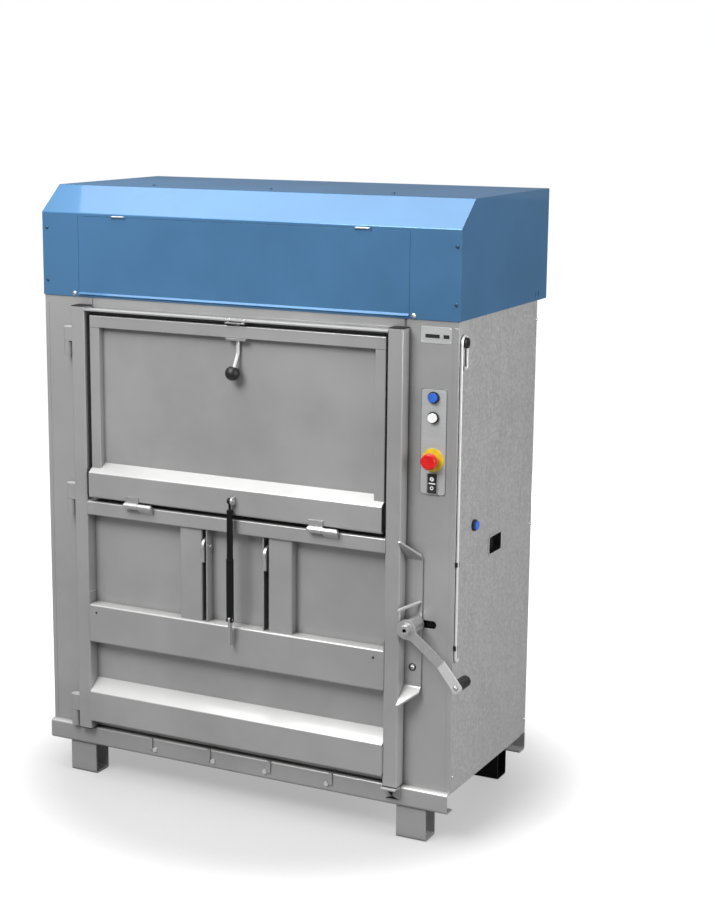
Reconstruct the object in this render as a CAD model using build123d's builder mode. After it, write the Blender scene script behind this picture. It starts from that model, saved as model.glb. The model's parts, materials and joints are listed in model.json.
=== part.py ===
from build123d import *
import math
import os

# A recycling baler: a steel press with a front door, a feeding hatch in the door's upper half,
# a telescopic press cylinder under a folded hood, and its controls on the right.
# X runs to the right, Y to the back and Z up, in millimetres.
# The origin lies on the floor, at the centre of the four feet.

os.makedirs("parts", exist_ok=True)

# Body
overall_height = 2000
body_width = 1486
body_front = -327
body_back = 318
sheet = 2
panel_drop = 7
panel_overlap = 46
panel_return = 20
panel_bend = 3
half_body = body_width / 2
panel_back_face = body_front + sheet

# Feet and sills
foot_height = 108
foot_depth = 75
foot_length = 101
foot_wall = 5
foot_corner = 8
foot_inset = 125.5
front_foot_inset = 11
rear_foot_reach = 21
sill_height = 66
sill_depth = 45
sill_wall = 5
sill_bend = 10
sill_step = 23
rail_width = 60
rail_wall = 4
foot_centre_x = half_body - foot_inset
sill_front = body_front - sill_step
sill_top = foot_height + sill_height
front_foot_y = sill_front + front_foot_inset + foot_depth / 2
rear_foot_y = body_back + rear_foot_reach - foot_depth / 2
panel_bottom = sill_top - panel_drop

# Hood
hood_sheet = 3
hood_height = 356
hood_overhang = 70
slope_drop = 84
slope_depth = 100
hood_bend = 6
vent_slot = (4, 20)
vent_from_back = 52
vent_rise = 19
hood_bottom = overall_height - hood_height
slope_bottom = overall_height - slope_drop
hood_front = body_front - hood_sheet
hood_back = body_back + hood_overhang
panel_top = hood_bottom + panel_overlap

# Hood flap
flap_inset = (138, 163)
flap_rise = 9
flap_drop = 11
flap_sheet = 2
flap_gap = 1
flap_lip = 6
flap_return = 12
flap_knuckle = 3
flap_knuckle_run = 46
flap_end_run = 4
flap_hinge_inset = (157, 155)
flap_left = -half_body + flap_inset[0]
flap_right = half_body - flap_inset[1]
flap_bottom = hood_bottom + flap_rise
flap_top = slope_bottom - flap_drop
flap_hinge_x = (flap_left + flap_hinge_inset[0], flap_right - flap_hinge_inset[1])
flap_axis_y = hood_front - flap_knuckle - 0.5
flap_axis_z = flap_top + flap_knuckle

# Chamber
chamber_inset = (189, 177)
chamber_wall = 4
chamber_drop = 4
chamber_back_inset = 52
floor_plate = 8
floor_inset = 18
strap_lines = (-335, -110, 116, 341)
strap_gap = 14
chamber_left = -half_body + chamber_inset[0]
chamber_right = half_body - chamber_inset[1]
chamber_back_y = body_back - chamber_back_inset
chamber_top = hood_bottom - chamber_drop
floor_back = body_back - floor_inset
floor_top = sill_top + floor_plate
chamber_centre_x = (chamber_left + chamber_right) / 2

# Press frame
post = 50
post_wall = 4
post_corner = 5
beam_height = 100
beam_spread = 115
post_top = chamber_top
side_beam_top = post_top + post
cross_beam_top = side_beam_top + beam_height

# Press plate and telescopic cylinder
press_drop = 40
press_plate_thickness = 12
press_front_gap = 25
press_side_gap = 10
press_back_gap = 10
press_rib = 38
press_rib_width = 10
rib_spread = 105
rib_inset = (250, 260)
shoe_gap = 1
shoe_length = 80
cylinder_radius = 75
cylinder_wall = 9.7
cylinder_inset = 15
cylinder_cap = 15
cylinder_flange = 260
cylinder_flange_thickness = 15
stage_gap = 0.3
stage_wall = 8.7
stage_ring = 10
stage_ring_step = 5
rod_flange_radius = 90
rod_flange_thickness = 15
press_bottom = chamber_top - press_drop
press_front = panel_back_face + press_front_gap
press_back = chamber_back_y - press_back_gap
press_top = press_bottom + press_plate_thickness
press_centre_y = (press_front + press_back) / 2
cylinder_bottom = chamber_top + cylinder_inset
cylinder_top = overall_height - cylinder_inset
stage_1_radius = cylinder_radius - cylinder_wall - stage_gap
stage_2_radius = stage_1_radius - stage_wall
rod_radius = stage_2_radius - stage_wall

# Door
door_inset = (136, 159)
door_gap = 1
stile = 50
stile_wall = 3
stile_corner = 5
stile_rise = 4
stile_drop = 27
stile_cap = 3
member_wall = 4
member_bend = 7
skin = 4
rail_bottom = 925
rail_top = 972
cross_bottom = 485
cross_top = 617
cross_hole_drop = 28
cross_hole_inset = (28, 36)
kick_rise = 31
kick_height = 106
kick_slope = 39
kick_proud = 5
tie_thickness = 5
tie_inset = 7
tie_drop = 50
door_left = -half_body + door_inset[0]
door_right = half_body - door_inset[1]
door_back = body_front - door_gap
door_front = door_back - stile
skin_front = door_back - skin
inner_left = door_left + stile
inner_right = door_right - stile
stile_bottom = sill_top + stile_rise
stile_top = hood_bottom - stile_drop
kick_bottom = sill_top + kick_rise
kick_fold = kick_bottom + kick_height
kick_top = kick_fold + kick_slope
tie_top = stile_top - tie_inset

# Door hinges, from the lowest to the highest
hinge_reach = 24
hinge_seat = 22
hinge_radius = 17
hinge_pin = 7
hinge_running = 0.05
hinge_split = 1
hinge_lengths = (110, 108, 95)
hinge_offsets = (2, -10, -164)
hinge_x = door_left - hinge_reach
hinge_y = door_front + hinge_seat
hinge_levels = (sill_top, rail_bottom, stile_top)
hinge_lows = [level + shift for level, shift in zip(hinge_levels, hinge_offsets)]
hinge_spans = [(low, low + length) for low, length in zip(hinge_lows, hinge_lengths)]

# Strap channels and cams
channel_inner = 121.5
channel_width = 84
channel_inset = 10
flange_inner = 102
flange_thickness = 4
slot_rise = 23
slot_drop = 20
cam_radius = 30
cam_thickness = 9
cam_pin = 5
cam_drop = 60
cam_tail = (-20, -42)
cam_tail_radius = 8
cam_head = 8
cam_head_length = 5
channel_front = door_front + channel_inset
slot_bottom = cross_top + slot_rise
slot_top = rail_bottom - slot_drop
cam_y = body_front - sill_step
cam_z = rail_bottom - cam_drop

# Hatch
hatch_inset = (14, 10)
hatch_drop = 20
hatch_rise = 15
hatch_bar = 36
hatch_head = 39
hatch_set_back = 11
hatch_depth = 25
hatch_sheet = 2
hatch_fold_height = 85
hatch_slope = 28
hatch_proud = 9
hatch_axis_reach = 16
hatch_axis_rise = 4.5
hatch_barrel = 10
hatch_pin = 4
hatch_bullet = 3.5
hatch_hinge_run = 106
hatch_hinge_inset = (141, 250)
hatch_left = inner_left + hatch_inset[0]
hatch_right = inner_right - hatch_inset[1]
hatch_bottom = rail_top + hatch_rise
hatch_top = tie_top - hatch_drop
hatch_fold = hatch_bottom + hatch_fold_height
hatch_slope_top = hatch_fold + hatch_slope
hatch_axis_y = door_front - hatch_axis_reach
hatch_axis_z = rail_top + hatch_axis_rise
hatch_hinge_left = (hatch_left + hatch_hinge_inset[0], hatch_right - hatch_hinge_inset[1])
hatch_front = door_front + hatch_set_back
hatch_sheet_front = hatch_front + hatch_depth
hatch_member_front = door_front - hatch_proud

# Hatch latch
latch_x = 7
latch_radius = 5.5
latch_running = 0.1
latch_plate = (-28, 42)
latch_plate_thickness = 7
latch_plate_proud = 4
latch_gap = 1
latch_drop = 86
latch_end_drop = 131
latch_end_step = (-7, -13)
latch_bend = 14
knob_radius = 23.5
knob_seat = 19
ball_chords = 12
keeper_thickness = 4
keeper_depth = 38
keeper_spacer = 4
keeper_bolts = (-19, 33)
latch_y = hatch_front + hatch_depth / 2
latch_bend_z = hatch_top - latch_drop
latch_end_z = hatch_top - latch_end_drop
keeper_bottom = tie_top - tie_thickness - keeper_spacer - keeper_thickness

# Gas strut
strut_x = 2
strut_reach = 24
strut_top_rise = 50
strut_foot_rise = 31
strut_cylinder_radius = 10
strut_cylinder_span = (112, 29)
strut_cover_radius = 12
strut_cover_span = (16, 199)
strut_gap = 0.3
strut_eye_radius = 10
strut_eye_width = 10
strut_eye_bore = 4
strut_floor = 8
fin_thickness = 7
fin_half = 9
fin_drop = 54
fork_gap = 0.5
fork_wall = 5
lug_thickness = 6
lug_radius = 12
lug_gap = 2
strut_y = door_front - strut_reach
strut_top = hatch_bottom + strut_top_rise
strut_bottom = cross_top + strut_foot_rise
strut_cylinder_low = strut_bottom + strut_cylinder_span[0]
strut_cylinder_high = strut_top - strut_cylinder_span[1]
strut_cover_low = strut_bottom + strut_cover_span[0]
strut_cover_high = strut_bottom + strut_cover_span[1]
fin_bottom = cross_top - fin_drop

# Lock on the right stile
ear_width = 57
ear_thickness = 5
ear_below = 203
ear_above = 202
ear_reach = 60
ear_rise = 62
ear_fall = 50
ear_stub = 13
lock_inset = 40
lock_drop = 191.5
boss_radius = 25
boss_length = 70
lock_shaft = 13
lock_running = 0.05
lock_neck = 9
lock_stud = 10
lock_stud_gap = 0.1
lever_gap = 0.5
lever_thickness = 8
lever_eye = 31
lever_width = 30
lever_end_width = 32
lever_end_corner = 11
lever_crease_step = (116, -95)
lever_end_step = (172, -153)
lever_joggle = 14
grip_radius = 18
grip_edge = 2
grip_gap = 8
washer_radius = 22.5
washer_thickness = 3
nut_radius = 17
nut_thickness = 11
nut_socket = 7
tongue_left = 12
tongue_right = 56
tongue_height = 18
tongue_thickness = 10
tongue_gap = 5
guard_front = (6, -66)
guard_foot = 50
guard_width = 10
guard_thickness = 6
guard_heights = (74, 56, -30, -66)
guard_bend = 10
panel_slot_reach = (20, 63)
panel_slot_height = 25
ear_right = door_right + ear_width
ear_front = door_back - ear_thickness
lock_x = door_right + lock_inset
lock_z = (stile_bottom + stile_top) / 2 - lock_drop
ear_bottom = lock_z - ear_below
ear_top = lock_z + ear_above
boss_front = ear_front - boss_length
lever_back = boss_front - lever_gap
lever_front = lever_back - lever_thickness
lever_crease = (lock_x + lever_crease_step[0], lock_z + lever_crease_step[1])
lever_end = (lock_x + lever_end_step[0], lock_z + lever_end_step[1])
grip_back = body_front - grip_gap
grip_seat = lever_front - lever_gap
tongue_front = panel_back_face + tongue_gap
panel_slot = (lock_x - panel_slot_reach[0], lock_x + panel_slot_reach[1])

# Front panels
panel_inner_return = 22
panel_seam = (2, 5)
lintel_seam = 0.5
left_panel_edge = chamber_left - panel_seam[0]
right_panel_edge = chamber_right + panel_seam[1]
lintel_bottom = stile_top

# Sill fittings
hook_width = 13
hook_lip = 2
hook_rise = 26
hook_thickness = 6
hook_disc = 8
hook_disc_thickness = 5
hook_disc_offset = 15
rest_thickness = 5
rest_reach = 42
rest_rise = 22
rest_gusset_inset = 22
hook_top = sill_top + hook_lip
hook_bottom = foot_height + hook_rise
rest_bottom = foot_height + rest_rise

# Controls
control_inset = 82.5
control_plate_size = (82, 320)
control_plate_drop = 338
control_plate_thickness = 3
control_drops = (204, 265, 395, 467)
bezel_radius = 18
bezel_height = 7
bezel_pocket = 14.6
bezel_barrel = 11
bezel_bore = 8.1
bezel_depth = 30
barrel_gap = 0.2
button_radius = 14.3
button_thickness = 8
button_proud = 7
button_stem = 8
button_stem_length = 24
stop_collar_radius = 36
stop_collar_thickness = 3
stop_head_radius = 25
stop_head_thickness = 18
stop_proud = 40
stop_stem = 12
stop_stem_gap = 0.1
stop_hole = 12.6
switch_size = (38, 67)
switch_frame_height = 3
switch_wall = 4
rocker_gap = 1
rocker_depth = 15
rocker_crown = 4
rocker_pin = 1.5
rocker_pin_reach = 17.5
box_wall = 2
control_box_size = (104, 70, 360)
control_box_drop = 157
control_x = door_right + control_inset
control_face = body_front - control_plate_thickness
control_plate_z = stile_top - control_plate_drop
blue_z, white_z, stop_z, switch_z = [stile_top - drop for drop in control_drops]

# Right side fittings
side_button_inset = 144
side_button_z = 999
cup_inset = 273
cup_bottom = 874
cup_size = (100, 58)
cup_corner = 12
cup_wall = 2
cup_flange = 6
cup_depth = 28
tool_inset = 11
tool_radius = 4.5
tool_drop = 102
tool_hook = 8
tool_tip_drop = 72
peg_radius = 15
peg_drop = 38
peg_seat = 0.3
peg_length = 16
peg_head = 16
peg_head_thickness = 3
clip_rises = (300, 36)
clip_size = (8, 16, 14)
side_button_y = body_front + side_button_inset
cup_centre = (body_front + cup_inset + cup_size[0] / 2, cup_bottom + cup_size[1] / 2)
tool_x = half_body + tool_radius + peg_seat
tool_y = body_front + tool_inset
tool_bottom = lock_z - tool_drop
peg_z = stile_top - peg_drop
tool_tip_z = peg_z - tool_tip_drop

# Power unit in the hood
tank_inset = (103, 503)
tank_reach = (128, 132)
tank_height = 80
motor_radius = 48
motor_inset = (143, 363)
motor_shift = 38
valve_inset = 453
valve_size = (90, 80, 60)
motor_y = press_centre_y - motor_shift
valve_x = -half_body + valve_inset


def block(low, high, mode=Mode.ADD):
    """A rectangular block between its lowest and its highest corner."""
    size = [b - a for a, b in zip(low, high)]
    with Locations(low):
        Box(*size, align=(Align.MIN, Align.MIN, Align.MIN), mode=mode)


def rectangle(low, high, mode=Mode.ADD):
    """A rectangle of a sketch, between its lowest and its highest corner."""
    with Locations(low):
        Rectangle(high[0] - low[0], high[1] - low[1], align=(Align.MIN, Align.MIN), mode=mode)


def folded_sheet(points, thickness, bend):
    """The section of a folded sheet, with its thickness to the left of the line of points."""
    with BuildLine() as fold:
        FilletPolyline(*points, radius=bend)
        offset(amount=thickness, side=Side.LEFT)
    make_face(fold.edges())


def square_tube(centre, width, height, wall, corner):
    """The section of a square or rectangular tube."""
    with Locations(centre):
        RectangleRounded(width, height, corner)
        RectangleRounded(width - 2 * wall, height - 2 * wall, corner - wall / 2, mode=Mode.SUBTRACT)


def turned_arc(radius, centre, start):
    """Half a ball's section, from an angle down to its tip, in chords that keep the facets few."""
    angles = [start * (1 - step / ball_chords) for step in range(ball_chords + 1)]
    return [(centre + radius * math.cos(angle), radius * math.sin(angle)) for angle in angles]


def facing_front(y):
    """A plane at y that faces the front: its sketch has X to the right and Z up."""
    return Plane.XZ.offset(-y)


def facing_right(x):
    """A plane at x that faces the right: its sketch has Y to the right and Z up."""
    return Plane.YZ.offset(x)


# Base: two folded sills on short tube feet, with two rails between them
with BuildPart() as base_frame:
    with BuildSketch(facing_right(-half_body)):
        inner_edge = sill_front + sill_depth
        folded_sheet(
            [(inner_edge, sill_top), (sill_front, sill_top), (sill_front, foot_height), (inner_edge, foot_height)],
            sill_wall,
            sill_bend,
        )
        rear_edge = body_back - sill_depth
        folded_sheet(
            [(rear_edge, foot_height), (body_back, foot_height), (body_back, sill_top), (rear_edge, sill_top)],
            sill_wall,
            sill_bend,
        )
    extrude(amount=body_width)
    with BuildSketch(facing_front(rear_edge)):
        for side in (-1, 1):
            rail_centre = (side * foot_centre_x, foot_height + sill_height / 2)
            square_tube(rail_centre, rail_width, sill_height, rail_wall, foot_corner)
    extrude(amount=rear_edge - inner_edge)
base_frame.part.label = "base_frame"
export_step(base_frame.part, "parts/base_frame.step")

for row, foot_y in (("front_feet", front_foot_y), ("rear_feet", rear_foot_y)):
    with BuildPart() as feet:
        for side in (-1, 1):
            with BuildSketch(facing_right(side * foot_centre_x - foot_length / 2)):
                square_tube((foot_y, foot_height / 2), foot_depth, foot_height, foot_wall, foot_corner)
            extrude(amount=foot_length)
    feet.part.label = row
    export_step(feet.part, f"parts/{row}.step")

# Press frame: four posts, two side beams on them and two cross beams that carry the cylinder
with BuildPart() as press_frame:
    post_x = half_body - sheet - post / 2
    front_post_y = panel_back_face + sheet + post / 2
    rear_post_y = body_back - 2 * sheet - post / 2
    with BuildSketch(Plane.XY.offset(sill_top)):
        for side in (-1, 1):
            for post_y in (front_post_y, rear_post_y):
                square_tube((side * post_x, post_y), post, post, post_wall, post_corner)
    extrude(amount=post_top - sill_top)
    for side in (-1, 1):
        with BuildSketch(facing_front(rear_post_y + post / 2 - panel_bend)):
            square_tube((side * post_x, post_top + post / 2), post, post, post_wall, post_corner)
        extrude(amount=rear_post_y - front_post_y + post - 2 * panel_bend)
    with BuildSketch(facing_right(-half_body + sheet)):
        for side in (-1, 1):
            beam_centre = (press_centre_y + side * beam_spread, side_beam_top + beam_height / 2)
            square_tube(beam_centre, post, beam_height, post_wall, post_corner)
    extrude(amount=body_width - 2 * sheet)
press_frame.part.label = "press_frame"
export_step(press_frame.part, "parts/press_frame.step")

# Side panels: galvanised sheets with a narrow return at the front and at the back
side_front = panel_back_face
sill_notches = ((side_front, sill_front + sill_depth), (body_back - sill_depth, body_back))
with BuildPart() as side_panel_left:
    with BuildSketch(Plane.XY.offset(panel_bottom)):
        folded_sheet(
            [
                (-half_body + panel_return, body_back),
                (-half_body, body_back),
                (-half_body, side_front),
                (-half_body + panel_return, side_front),
            ],
            sheet,
            panel_bend,
        )
    extrude(amount=panel_top - panel_bottom)
    for low_y, high_y in sill_notches:
        block(
            (-half_body, low_y, panel_bottom),
            (-half_body + panel_return, high_y, sill_top),
            mode=Mode.SUBTRACT,
        )
side_panel_left.part.label = "side_panel_left"
export_step(side_panel_left.part, "parts/side_panel_left.step")

with BuildPart() as side_panel_right:
    with BuildSketch(Plane.XY.offset(panel_bottom)):
        folded_sheet(
            [
                (half_body - panel_return, side_front),
                (half_body, side_front),
                (half_body, body_back),
                (half_body - panel_return, body_back),
            ],
            sheet,
            panel_bend,
        )
    extrude(amount=panel_top - panel_bottom)
    for low_y, high_y in sill_notches:
        block(
            (half_body - panel_return, low_y, panel_bottom),
            (half_body, high_y, sill_top),
            mode=Mode.SUBTRACT,
        )
    with BuildSketch(facing_right(half_body)):
        with Locations((side_button_y, side_button_z)):
            Circle(bezel_barrel + barrel_gap)
        with Locations(cup_centre):
            RectangleRounded(*cup_size, cup_corner)
    extrude(amount=-sheet, mode=Mode.SUBTRACT)
side_panel_right.part.label = "side_panel_right"
export_step(side_panel_right.part, "parts/side_panel_right.step")

with BuildPart() as back_panel:
    back_edge = half_body - sheet - panel_bend
    block(
        (-back_edge, body_back - 2 * sheet, sill_top + sheet),
        (back_edge, body_back - sheet, panel_top),
    )
back_panel.part.label = "back_panel"
export_step(back_panel.part, "parts/back_panel.step")

# Front panels beside the door and the lintel above it
with BuildPart() as front_panel_left:
    block((-half_body, body_front, sill_top), (left_panel_edge, panel_back_face, panel_top))
front_panel_left.part.label = "front_panel_left"
export_step(front_panel_left.part, "parts/front_panel_left.step")

with BuildPart() as front_panel_right:
    with BuildSketch(Plane.XY.offset(sill_top)):
        folded_sheet(
            [
                (right_panel_edge, body_front + panel_inner_return),
                (right_panel_edge, body_front),
                (half_body, body_front),
            ],
            sheet,
            panel_bend,
        )
    extrude(amount=panel_top - sill_top)
    with BuildSketch(facing_front(body_front)):
        with Locations(((panel_slot[0] + panel_slot[1]) / 2, lock_z)):
            SlotOverall(panel_slot[1] - panel_slot[0], panel_slot_height)
        with Locations((control_x, blue_z), (control_x, white_z)):
            Circle(bezel_barrel + barrel_gap)
        with Locations((control_x, stop_z)):
            Circle(stop_hole)
        with Locations((control_x, switch_z)):
            Rectangle(switch_size[0] - 2 * switch_wall, switch_size[1] - 2 * switch_wall)
    extrude(amount=-sheet, mode=Mode.SUBTRACT)
front_panel_right.part.label = "front_panel_right"
export_step(front_panel_right.part, "parts/front_panel_right.step")

with BuildPart() as lintel_panel:
    with BuildSketch(facing_right(chamber_left + lintel_seam)):
        folded_sheet(
            [
                (body_front, panel_top),
                (body_front, lintel_bottom),
                (body_front + panel_inner_return, lintel_bottom),
            ],
            sheet,
            panel_bend,
        )
    extrude(amount=chamber_right - chamber_left - 2 * lintel_seam)
lintel_panel.part.label = "lintel_panel"
export_step(lintel_panel.part, "parts/lintel_panel.step")

# Hood: one folded shell, open below, with an opening for its flap
hood_half = half_body + hood_sheet
with BuildPart() as hood:
    with BuildSketch(facing_right(-hood_half)) as hood_side:
        Polygon(
            (hood_front, hood_bottom),
            (hood_back, hood_bottom),
            (hood_back, overall_height),
            (body_front + slope_depth, overall_height),
            (hood_front, slope_bottom),
            align=None,
        )
        fillet(hood_side.vertices().group_by(Axis.Y)[1:], radius=hood_bend)
    extrude(amount=2 * hood_half)
    offset(amount=-hood_sheet, openings=hood.faces().sort_by(Axis.Z)[0], kind=Kind.INTERSECTION)
    block(
        (flap_left - flap_gap, hood_front - 1, flap_bottom - flap_gap),
        (flap_right + flap_gap, body_front + 1, flap_top + flap_gap),
        mode=Mode.SUBTRACT,
    )
    for side in (-1, 1):
        vent_x = side * (half_body + hood_sheet / 2)
        vent_y = body_back - vent_from_back / 2
        with Locations((vent_x, vent_y, hood_bottom + vent_rise)):
            Box(2 * hood_sheet, vent_slot[0], vent_slot[1], mode=Mode.SUBTRACT)
hood.part.label = "hood"
export_step(hood.part, "parts/hood.step")

# Flap hinges: a middle knuckle with its pin on the hood, two end knuckles on the flap
flap_run = flap_knuckle_run + 2 * flap_end_run
flap_pin = flap_knuckle / 2
with BuildPart() as flap_hinge_leaves:
    for centre in flap_hinge_x:
        start = centre - flap_knuckle_run / 2 + flap_pin / 2
        with BuildSketch(facing_right(start)):
            with Locations((flap_axis_y, flap_axis_z)):
                Circle(flap_knuckle)
            rectangle((flap_axis_y, flap_axis_z + 1.5), (hood_front, flap_axis_z + flap_knuckle))
        extrude(amount=flap_knuckle_run - flap_pin)
        with BuildSketch(facing_right(centre - flap_run / 2)):
            with Locations((flap_axis_y, flap_axis_z)):
                Circle(flap_pin)
        extrude(amount=flap_run)
flap_hinge_leaves.part.label = "flap_hinge_leaves"
export_step(flap_hinge_leaves.part, "parts/flap_hinge_leaves.step")

with BuildPart() as hood_flap:
    with BuildSketch(facing_right(flap_left)):
        folded_sheet(
            [
                (hood_front, flap_top),
                (hood_front, flap_bottom + flap_lip),
                (hood_front - flap_lip, flap_bottom),
            ],
            flap_sheet,
            1,
        )
    extrude(amount=flap_right - flap_left)
    flap_back = hood_front + flap_sheet
    for edge in (flap_left, flap_right - flap_sheet):
        block(
            (edge, flap_back, panel_top + flap_lip),
            (edge + flap_sheet, flap_back + flap_return, flap_top),
        )
    for centre in flap_hinge_x:
        for start in (centre - flap_run / 2, centre + flap_knuckle_run / 2):
            with BuildSketch(facing_right(start)):
                with Locations((flap_axis_y, flap_axis_z)):
                    Circle(flap_knuckle)
                rectangle((flap_axis_y, flap_top - flap_knuckle), (hood_front, flap_top))
                rectangle((flap_axis_y, flap_top), (flap_axis_y + flap_knuckle, flap_axis_z))
                with Locations((flap_axis_y, flap_axis_z)):
                    Circle(flap_pin + hinge_running, mode=Mode.SUBTRACT)
            extrude(amount=flap_end_run)
hood_flap.part.label = "hood_flap"
export_step(hood_flap.part, "parts/hood_flap.step")

# Baling chamber: five floor planks with strap gaps between them, two side walls and a back wall
with BuildPart() as chamber_floor:
    plank_edges = [chamber_left - chamber_wall]
    for line in strap_lines:
        plank_edges += [line - strap_gap / 2, line + strap_gap / 2]
    plank_edges.append(chamber_right + chamber_wall)
    for low, high in zip(plank_edges[::2], plank_edges[1::2]):
        block((low, panel_back_face, sill_top), (high, floor_back, floor_top))
chamber_floor.part.label = "chamber_floor"
export_step(chamber_floor.part, "parts/chamber_floor.step")

with BuildPart() as chamber_walls:
    for low in (chamber_left - chamber_wall, chamber_right):
        block((low, panel_back_face, floor_top), (low + chamber_wall, chamber_back_y, chamber_top))
    block(
        (chamber_left - chamber_wall, chamber_back_y, floor_top),
        (chamber_right + chamber_wall, chamber_back_y + chamber_wall, chamber_top),
    )
chamber_walls.part.label = "chamber_walls"
export_step(chamber_walls.part, "parts/chamber_walls.step")

# Telescopic cylinder: barrel, two stages and the rod that carries the press plate
with BuildPart() as cylinder_barrel:
    with BuildSketch(Plane.XY.offset(cylinder_bottom)):
        with Locations((chamber_centre_x, press_centre_y)):
            Circle(cylinder_radius)
    extrude(amount=cylinder_top - cylinder_bottom)
    with BuildSketch(Plane.XY.offset(cross_beam_top)):
        with Locations((chamber_centre_x, press_centre_y)):
            RectangleRounded(cylinder_flange, cylinder_flange + post, hood_bend)
    extrude(amount=cylinder_flange_thickness)
    with BuildSketch(Plane.XY.offset(cylinder_bottom)):
        with Locations((chamber_centre_x, press_centre_y)):
            Circle(cylinder_radius - cylinder_wall)
    extrude(amount=cylinder_top - cylinder_cap - cylinder_bottom, mode=Mode.SUBTRACT)
cylinder_barrel.part.label = "cylinder_barrel"
export_step(cylinder_barrel.part, "parts/cylinder_barrel.step")

stage_top = cylinder_top - cylinder_cap - 2 * stage_ring
ring_bottom = cylinder_bottom - stage_ring - stage_ring_step
for name, radius, low in (
    ("stage_1", stage_1_radius, ring_bottom),
    ("stage_2", stage_2_radius, ring_bottom - stage_ring),
):
    with BuildPart() as stage:
        with BuildSketch(Plane.XY.offset(low)):
            with Locations((chamber_centre_x, press_centre_y)):
                Circle(radius)
        extrude(amount=stage_top - low)
        with BuildSketch(Plane.XY.offset(low)):
            with Locations((chamber_centre_x, press_centre_y)):
                Circle(radius + stage_ring_step)
        extrude(amount=stage_ring - 1)
        with BuildSketch(Plane.XY.offset(low)):
            with Locations((chamber_centre_x, press_centre_y)):
                Circle(radius - stage_wall + stage_gap)
        extrude(amount=stage_top - low, mode=Mode.SUBTRACT)
    stage.part.label = name
    export_step(stage.part, f"parts/{name}.step")

with BuildPart() as press_rod:
    with BuildSketch(Plane.XY.offset(press_top)):
        with Locations((chamber_centre_x, press_centre_y)):
            Circle(rod_radius)
    extrude(amount=stage_top - stage_ring - press_top)
    with BuildSketch(Plane.XY.offset(press_top)):
        with Locations((chamber_centre_x, press_centre_y)):
            Circle(rod_flange_radius)
    extrude(amount=rod_flange_thickness)
press_rod.part.label = "press_rod"
export_step(press_rod.part, "parts/press_rod.step")

with BuildPart() as press_plate:
    plate_left = chamber_left + press_side_gap
    plate_right = chamber_right - press_side_gap
    block((plate_left, press_front, press_bottom), (plate_right, press_back, press_top))
    rib_top = press_top + press_rib
    rib_rows = (
        press_front + 2 * press_rib_width,
        press_centre_y - rib_spread,
        press_centre_y + rib_spread,
        press_back - 3 * press_rib_width,
    )
    for rib_y in rib_rows:
        block((plate_left, rib_y, press_top), (plate_right, rib_y + press_rib_width, rib_top))
    rib_columns = (
        plate_left,
        plate_left + rib_inset[0],
        plate_right - rib_inset[1],
        plate_right - press_rib_width,
    )
    for rib_x in rib_columns:
        block((rib_x, press_front, press_top), (rib_x + press_rib_width, press_back, rib_top))
    for shoe_y in (press_front + shoe_length, press_back - 2 * shoe_length):
        block(
            (chamber_left + shoe_gap, shoe_y, press_bottom),
            (plate_left, shoe_y + shoe_length, rib_top),
        )
        block(
            (plate_right, shoe_y, press_bottom),
            (chamber_right - shoe_gap, shoe_y + shoe_length, rib_top),
        )
press_plate.part.label = "press_plate"
export_step(press_plate.part, "parts/press_plate.step")

with BuildPart() as power_unit:
    tank_top = cross_beam_top + tank_height
    block(
        (-half_body + tank_inset[0], press_centre_y - tank_reach[0], cross_beam_top),
        (-half_body + tank_inset[1], press_centre_y + tank_reach[1], tank_top),
    )
    with BuildSketch(facing_right(-half_body + motor_inset[0])):
        with Locations((motor_y, tank_top + motor_radius)):
            Circle(motor_radius)
        rectangle((motor_y - motor_radius / 2, tank_top), (motor_y + motor_radius / 2, tank_top + motor_radius))
    extrude(amount=motor_inset[1] - motor_inset[0])
    block(
        (valve_x - valve_size[0] / 2, motor_y - valve_size[1] / 2, tank_top),
        (valve_x + valve_size[0] / 2, motor_y + valve_size[1] / 2, tank_top + valve_size[2]),
    )
power_unit.part.label = "power_unit"
export_step(power_unit.part, "parts/power_unit.step")

# Door hinges: the lower halves hold the pins, and the upper halves lift off with the door
with BuildPart() as door_hinge_pins:
    for low, high in hinge_spans:
        middle = (low + high) / 2
        with BuildSketch(Plane.XY.offset(low)):
            with Locations((hinge_x, hinge_y)):
                Circle(hinge_radius)
            rectangle((hinge_x - hinge_radius, hinge_y), (hinge_x + hinge_radius, body_front))
        extrude(amount=middle - low)
        with BuildSketch(Plane.XY.offset(middle)):
            with Locations((hinge_x, hinge_y)):
                Circle(hinge_pin)
        extrude(amount=high - middle - 2 * hinge_pin)
door_hinge_pins.part.label = "door_hinge_pins"
export_step(door_hinge_pins.part, "parts/door_hinge_pins.step")

with BuildPart() as door_hinge_knuckles:
    for low, high in hinge_spans:
        middle = (low + high) / 2 + hinge_split
        with BuildSketch(Plane.XY.offset(middle)):
            with Locations((hinge_x, hinge_y)):
                Circle(hinge_radius)
            rectangle((hinge_x, hinge_y - hinge_radius), (door_left, hinge_y + hinge_radius))
        extrude(amount=high - middle)
        with BuildSketch(Plane.XY.offset(middle)):
            with Locations((hinge_x, hinge_y)):
                Circle(hinge_pin + hinge_running)
        extrude(amount=high - middle - hinge_pin, mode=Mode.SUBTRACT)
door_hinge_knuckles.part.label = "door_hinge_knuckles"
export_step(door_hinge_knuckles.part, "parts/door_hinge_knuckles.step")

# Door frame: two square tube stiles with end caps and an angle across their tops
stile_centres = (door_left + stile / 2, door_right - stile / 2)
stile_y = (door_front + door_back) / 2
with BuildPart() as door_stiles:
    with BuildSketch(Plane.XY.offset(stile_bottom)):
        for centre in stile_centres:
            square_tube((centre, stile_y), stile, stile, stile_wall, stile_corner)
    extrude(amount=stile_top - stile_bottom)
door_stiles.part.label = "door_stiles"
export_step(door_stiles.part, "parts/door_stiles.step")

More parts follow.
